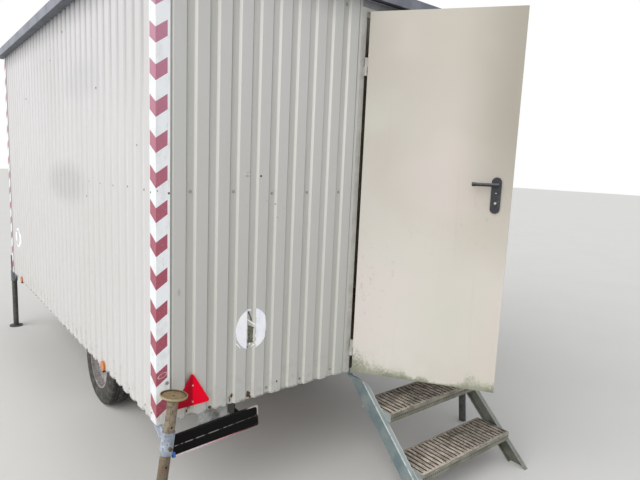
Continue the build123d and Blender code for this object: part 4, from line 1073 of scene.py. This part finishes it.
# Grime under the torn label, rust at the wall's foot, and three holes painted dark as shade
grime = bmesh.new()
grime_left = torn_edge((0.465, 0.277), (0.465, 0.399), 9, 0.0025)
grime_right = torn_edge((0.4955, 0.38), (0.4955, 0.279), 9, 0.0025)
grime_top = [(0.464, 0.451), (0.468, 0.456), (0.486, 0.416), (0.49, 0.398), (0.478, 0.408)]
for outline in (grime_left + grime_right, grime_top):
    lay_film(grime, outline, lift=0.0003)
add_piece("label_grime", grime, make_stain("label_grime", "#585a4a", "#868876", 90))

rust_marks = bmesh.new()
for middle, radii, count in (
    ((0.379, 0.04), (0.0075, 0.013), 12), ((0.371, 0.022), (0.0035, 0.011), 9),
    ((0.475, 0.024), (0.01, 0.015), 13), ((0.486, 0.008), (0.006, 0.007), 9),
    ((0.152, 0.045), (0.004, 0.012), 9), ((0.146, 0.024), (0.0055, 0.0085), 9),
    ((0.262, 0.012), (0.009, 0.007), 11), ((0.64, 0.058), (0.0045, 0.006), 9),
):
    lay_film(rust_marks, blot(middle, radii, count, 0.35), lift=0.0004)
add_piece("rust_marks", rust_marks, make_stain("rust_marks", "#463024", "#7a563e", 160))

wall_holes = bmesh.new()
for run, height, radius in ((0.467, 0.445, 0.0036), (0.512, 1.114, 0.0048), (0.465, 0.273, 0.003)):
    place = facing(on_door_end(run, height), (0, -1, 0))
    add_turned(wall_holes, place, [(radius, 0.0), (radius, 0.0007)], 14)
add_piece("wall_holes", wall_holes, make_stain("hole_dark", "#181716", "#2c2a28", 200))

# The carrier's pale foot strip and the blue patch at its left end, as (run, down) points over its rows
CARRIER_FILM = 0.0004
carrier_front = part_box("plate_carrier")[0].y - CARRIER_FILM
for name, material, outline in (
    ("carrier_strip", make_strip_film(), (
        (0.018, 0.1115), (0.018, 0.1), (0.12, 0.1015), (0.25, 0.104), (0.38, 0.107), (0.452, 0.109),
        (0.452, 0.1115),
    )),
    ("carrier_patch", make_painted("patch_blue", "#2e68ce", "#4680de", "#d2dcec"), (
        (0.003, 0.104), (0.003, 0.084), (0.01, 0.08), (0.017, 0.086), (0.017, 0.11), (0.009, 0.111),
    )),
):
    film = bmesh.new()
    points = [CARRIER_ORIGIN + CARRIER_RUN * run + CARRIER_DOWN * down for run, down in reversed(outline)]
    add_face(film, [(point.x, carrier_front, point.z) for point in points])
    add_piece(name, film, material)

# A worn oval ring on the corner's second chevron
SCUFF_MIDDLE = (0.0262, 0.228)
SCUFF_RADII = (0.024, 0.0108)
SCUFF_OPENING = 0.78
SCUFF_TILT = 0.42
SCUFF_PARTS = 20
scuff_middle = NEAR_CORNER + Vector((SCUFF_MIDDLE[0], -TRIM_THICKNESS - 2 * FILM, SCUFF_MIDDLE[1]))
scuff_place = Matrix.Translation(scuff_middle) @ Matrix.Rotation(-SCUFF_TILT, 4, "Y")
outer = circle(SCUFF_RADII, 0, 2 * math.pi, SCUFF_PARTS)
ring_scuff = bmesh.new()
for first, last in zip(outer, outer[1:]):
    corners = ((first, 1.0), (last, 1.0), (last, SCUFF_OPENING), (first, SCUFF_OPENING))
    add_face(ring_scuff, [scuff_place @ Vector((x * share, 0, z * share)) for (x, z), share in corners])
ring_pale = make_painted("ring_pale", "#e4ced6", "#d2b0bc", "#a05a6c")
add_piece("ring_scuff", ring_scuff, ring_pale)

# Dark rivets on the left side wall: run, height and size
side_rivets = bmesh.new()
for run, height, size in (
    (1.517, 1.923, 0.9), (0.826, 1.529, 0.75), (2.75, 1.606, 0.9), (0.222, 1.231, 0.42), (1.038, 0.946, 0.5)
):
    rings = [(0.0085 * size, 0.0), (0.008 * size, 0.0012), (0.0055 * size, 0.0024)]
    add_turned(side_rivets, facing(on_left_side(run, height), (-1, 0, 0)), rings, 14)
rivet_dark = make_painted("rivet_dark", "#60605e", "#484846", "#3c3028")
add_piece("side_rivets", side_rivets, rivet_dark)

# Lock cylinders and screws in both lock plates, each with its slot painted dark as shade
SPINDLE_ALONG = 0.712
LEVER_HEIGHT = 1.115
CYLINDER_HEIGHT = LEVER_HEIGHT - 0.093
LOCK_SCREW_HEIGHT = LEVER_HEIGHT - 0.042
lock_metal = bmesh.new()
key_slots = bmesh.new()
for depth, outwards in ((-0.016, -LEAF_IN), (0.048, LEAF_IN)):
    for height, radius in ((CYLINDER_HEIGHT, 0.0058), (LOCK_SCREW_HEIGHT, 0.0031)):
        place = facing(on_leaf(SPINDLE_ALONG, depth, height), outwards)
        add_turned(lock_metal, place, [(radius, 0.0), (radius, 0.0005), (radius * 0.9, 0.0009)], 20)
        long = radius * 0.55
        thin = radius * 0.14
        corners = ((-thin, -long), (thin, -long), (thin, long), (-thin, long))
        add_face(key_slots, [place @ Vector((x, y, 0.001)) for x, y in corners])
lock_steel = make_painted("lock_steel", "#d6d6d2", "#babab6", "#787064", 0.28)
add_piece("lock_metal", lock_metal, lock_steel, "door")
add_piece("key_slots", key_slots, plate_dark, "door")

# A collar at the end of each lever
LEVER_REACH = 0.118
lever_collars = bmesh.new()
for depth in (-0.05, 0.082):
    place = facing(on_leaf(SPINDLE_ALONG - LEVER_REACH, depth, LEVER_HEIGHT), -LEAF_ALONG)
    rings = [(0.0091, -0.016), (0.0105, -0.013), (0.0108, 0.0), (0.0098, 0.0035), (0.006, 0.0048)]
    add_turned(lever_collars, place, rings, 20)
add_piece("lever_collars", lever_collars, black_plastic, "lever")

# The lock's face plate in the leaf's free edge, with its latch and bolt: depths, then heights from the lever
leaf_turn = Matrix((LEAF_ALONG, LEAF_IN, UP)).transposed().to_4x4()
leaf_place = Matrix.Translation(on_leaf(0, 0, LEVER_HEIGHT)) @ leaf_turn
face_plate = bmesh.new()
add_block(face_plate, (LEAF_EDGE - 0.0005, 0.004, -0.165), (LEAF_EDGE + 0.0006, 0.028, 0.07), leaf_place)
add_piece("lock_face_plate", face_plate, lock_steel, "door")
bolts = bmesh.new()
for low, high in ((-0.008, 0.008), (-0.105, -0.085)):
    add_block(bolts, (LEAF_EDGE + 0.0004, 0.01, low), (LEAF_EDGE + 0.001, 0.022, high), leaf_place)
bolt_dark = make_painted("bolt_dark", "#76726a", "#5c5850", "#46362a")
add_piece("lock_bolts", bolts, bolt_dark, "door")

# A rubber valve on each rim, set in from the rim's outer edge and above the wheel's middle
VALVE_INSET = 0.0503
VALVE_REACH = 0.166
for side, wheel in ((-1, "left_wheel"), (1, "right_wheel")):
    rim_low, rim_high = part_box(wheel.replace("wheel", "rim"))
    outer_x = rim_low.x if side < 0 else rim_high.x
    base = Vector((outer_x - side * VALVE_INSET, WHEEL_Y, WHEEL_Z + VALVE_REACH))
    valve = bmesh.new()
    rings = [(0.0075, 0.0), (0.0068, 0.006), (0.0042, 0.008), (0.004, 0.026), (0.0036, 0.028)]
    add_turned(valve, facing(base, Vector((side * 0.94, 0, -0.34)), (0, 1, 0)), rings, 14)
    add_piece(wheel + "_valve", valve, tyre_rubber, wheel)

# Lining strips inside: skirtings, ceiling edges and board joints along both sides and the drawbar end
LINING_DEPTH = 0.051
STRIP = 0.0035
STRIP_HALF_WIDTH = 0.02
INNER_HALF = HALF_WIDTH - LINING_DEPTH
INNER_DOOR_END = DOOR_END + LINING_DEPTH
INNER_DRAWBAR_END = DRAWBAR_END - LINING_DEPTH
FLOOR_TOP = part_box("floor_panel")[1].z
SKIRTING_TOP = FLOOR_TOP + 0.06
EDGE_BOTTOM = WALL_TOP - 0.03
EDGE_STRIPS = ((FLOOR_TOP, SKIRTING_TOP), (EDGE_BOTTOM, WALL_TOP))
strips = bmesh.new()
for low_x, high_x in ((-INNER_HALF, STRIP - INNER_HALF), (INNER_HALF - STRIP, INNER_HALF)):
    for bottom, top in EDGE_STRIPS:
        add_block(strips, (low_x, INNER_DOOR_END, bottom), (high_x, INNER_DRAWBAR_END, top))
    for joint in (0.93, 1.86, 2.79):
        low = (low_x, INNER_DOOR_END + joint - STRIP_HALF_WIDTH, SKIRTING_TOP)
        add_block(strips, low, (high_x, INNER_DOOR_END + joint + STRIP_HALF_WIDTH, EDGE_BOTTOM))
for bottom, top in EDGE_STRIPS:
    low = (-INNER_HALF, INNER_DRAWBAR_END - STRIP, bottom)
    add_block(strips, low, (INNER_HALF, INNER_DRAWBAR_END, top))
for joint in (-INNER_HALF / 3, INNER_HALF / 3):
    low = (joint - STRIP_HALF_WIDTH, INNER_DRAWBAR_END - STRIP, SKIRTING_TOP)
    add_block(strips, low, (joint + STRIP_HALF_WIDTH, INNER_DRAWBAR_END, EDGE_BOTTOM))
strip_wood = make_painted("strip_wood", "#b09674", "#9c8262", "#6e5a42")
add_piece("lining_strips", strips, strip_wood)

# Roof screws in the valleys, beside the ribs
ROOF_RIB_PITCH = 0.25
ROOF_SCREW_STEPS = 8
ROOF_MARGIN = 0.03
ROOF_RIB_HEIGHT = 0.012
VALLEYS_EACH_SIDE = 4
valley_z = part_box("roof_sheet")[1].z - ROOF_RIB_HEIGHT
roof_screws = bmesh.new()
for number in range(-VALLEYS_EACH_SIDE, VALLEYS_EACH_SIDE + 1):
    for step in range(ROOF_SCREW_STEPS + 1):
        behind = ROOF_MARGIN + step * 2 * (HALF_LENGTH - ROOF_MARGIN) / ROOF_SCREW_STEPS
        place = facing(Vector((number * ROOF_RIB_PITCH, DOOR_END + behind, valley_z)), UP, (0, 1, 0))
        add_screw(roof_screws, place, washer=0.0095, turn=chance.uniform(0, 1))
add_piece("roof_screws", roof_screws, screw_paint)

# Two pale screws on the triangular reflector's middle line
reflector_screws = bmesh.new()
for height in (0.098, 0.02):
    place = Vector((triangle_x, triangle_low.y + 0.0002, triangle_low.z + height))
    rings = [(0.0042, 0.0), (0.004, 0.0012), (0.0026, 0.0018)]
    add_turned(reflector_screws, facing(place, (0, -1, 0)), rings, 16)
screw_pale = make_painted("screw_pale", "#e2bec4", "#cea0a8", "#784646")
add_piece("reflector_screws", reflector_screws, screw_pale)

# Floor, light and camera
floor_mesh = bmesh.new()
bmesh.ops.create_grid(floor_mesh, x_segments=1, y_segments=1, size=60)
floor_look = Look("floor_pale", roughness=0.9, specular=0.2)
floor_look.base("#ecebe8", "#e6e5e2", floor_look.noise(1.2, 3))
floor = add_mesh("floor", floor_mesh, floor_look.finish())

sun = link_object("soft_sun", bpy.data.lights.new("soft_sun", "SUN"))
sun.data.energy = 2.15
sun.data.angle = math.radians(70)
sun.data.color = (1.0, 0.99, 0.975)
sun.rotation_euler = Vector((-0.83, -0.13, 0.54)).to_track_quat("Z", "Y").to_euler()

# Dim bluish light all round, and a white backdrop where the camera or a reflection sees it
bpy.context.scene.world = bpy.data.worlds.new("studio")
sky = Nodes(bpy.context.scene.world)
by_camera, by_gloss = (sky.field("LightPath", {}, ray) for ray in ("Is Camera Ray", "Is Glossy Ray"))
seen = sky.math("ADD", by_camera, by_gloss, use_clamp=True)
ambient = sky.field("Background", {"Color": (0.955, 0.975, 1.0, 1.0), "Strength": 0.5})
backdrop = sky.field("Background", {"Color": (1.0, 1.0, 1.0, 1.0), "Strength": 1.0})
sky.add("OutputWorld", {"Surface": sky.field("MixShader", {0: seen, 1: ambient, 2: backdrop})})

# The photograph's camera
AZIMUTH = 0.6798009
PITCH = 0.1417017
ROLL = 0.0429258
FOCAL_PIXELS = 521.9565
FRAME_PIXELS = 640
SENSOR_WIDTH = 36.0
CAMERA_PLACE = NEAR_CORNER + Vector((-0.83232, -2.12992, 1.17577))
level = Vector((math.cos(AZIMUTH), -math.sin(AZIMUTH), 0))
forward = Vector((math.sin(AZIMUTH), math.cos(AZIMUTH), 0)) * math.cos(PITCH) - UP * math.sin(PITCH)
raised = level.cross(forward)
right = math.cos(ROLL) * level + math.sin(ROLL) * raised
up = math.cos(ROLL) * raised - math.sin(ROLL) * level
camera = link_object("camera", bpy.data.cameras.new("camera"))
camera.data.sensor_width = SENSOR_WIDTH
camera.data.lens = SENSOR_WIDTH * FOCAL_PIXELS / FRAME_PIXELS
camera.data.clip_end = 200.0
camera.matrix_world = Matrix.Translation(CAMERA_PLACE) @ Matrix((right, up, -forward)).transposed().to_4x4()
bpy.context.scene.camera = camera
bpy.context.scene.view_settings.view_transform = "Standard"
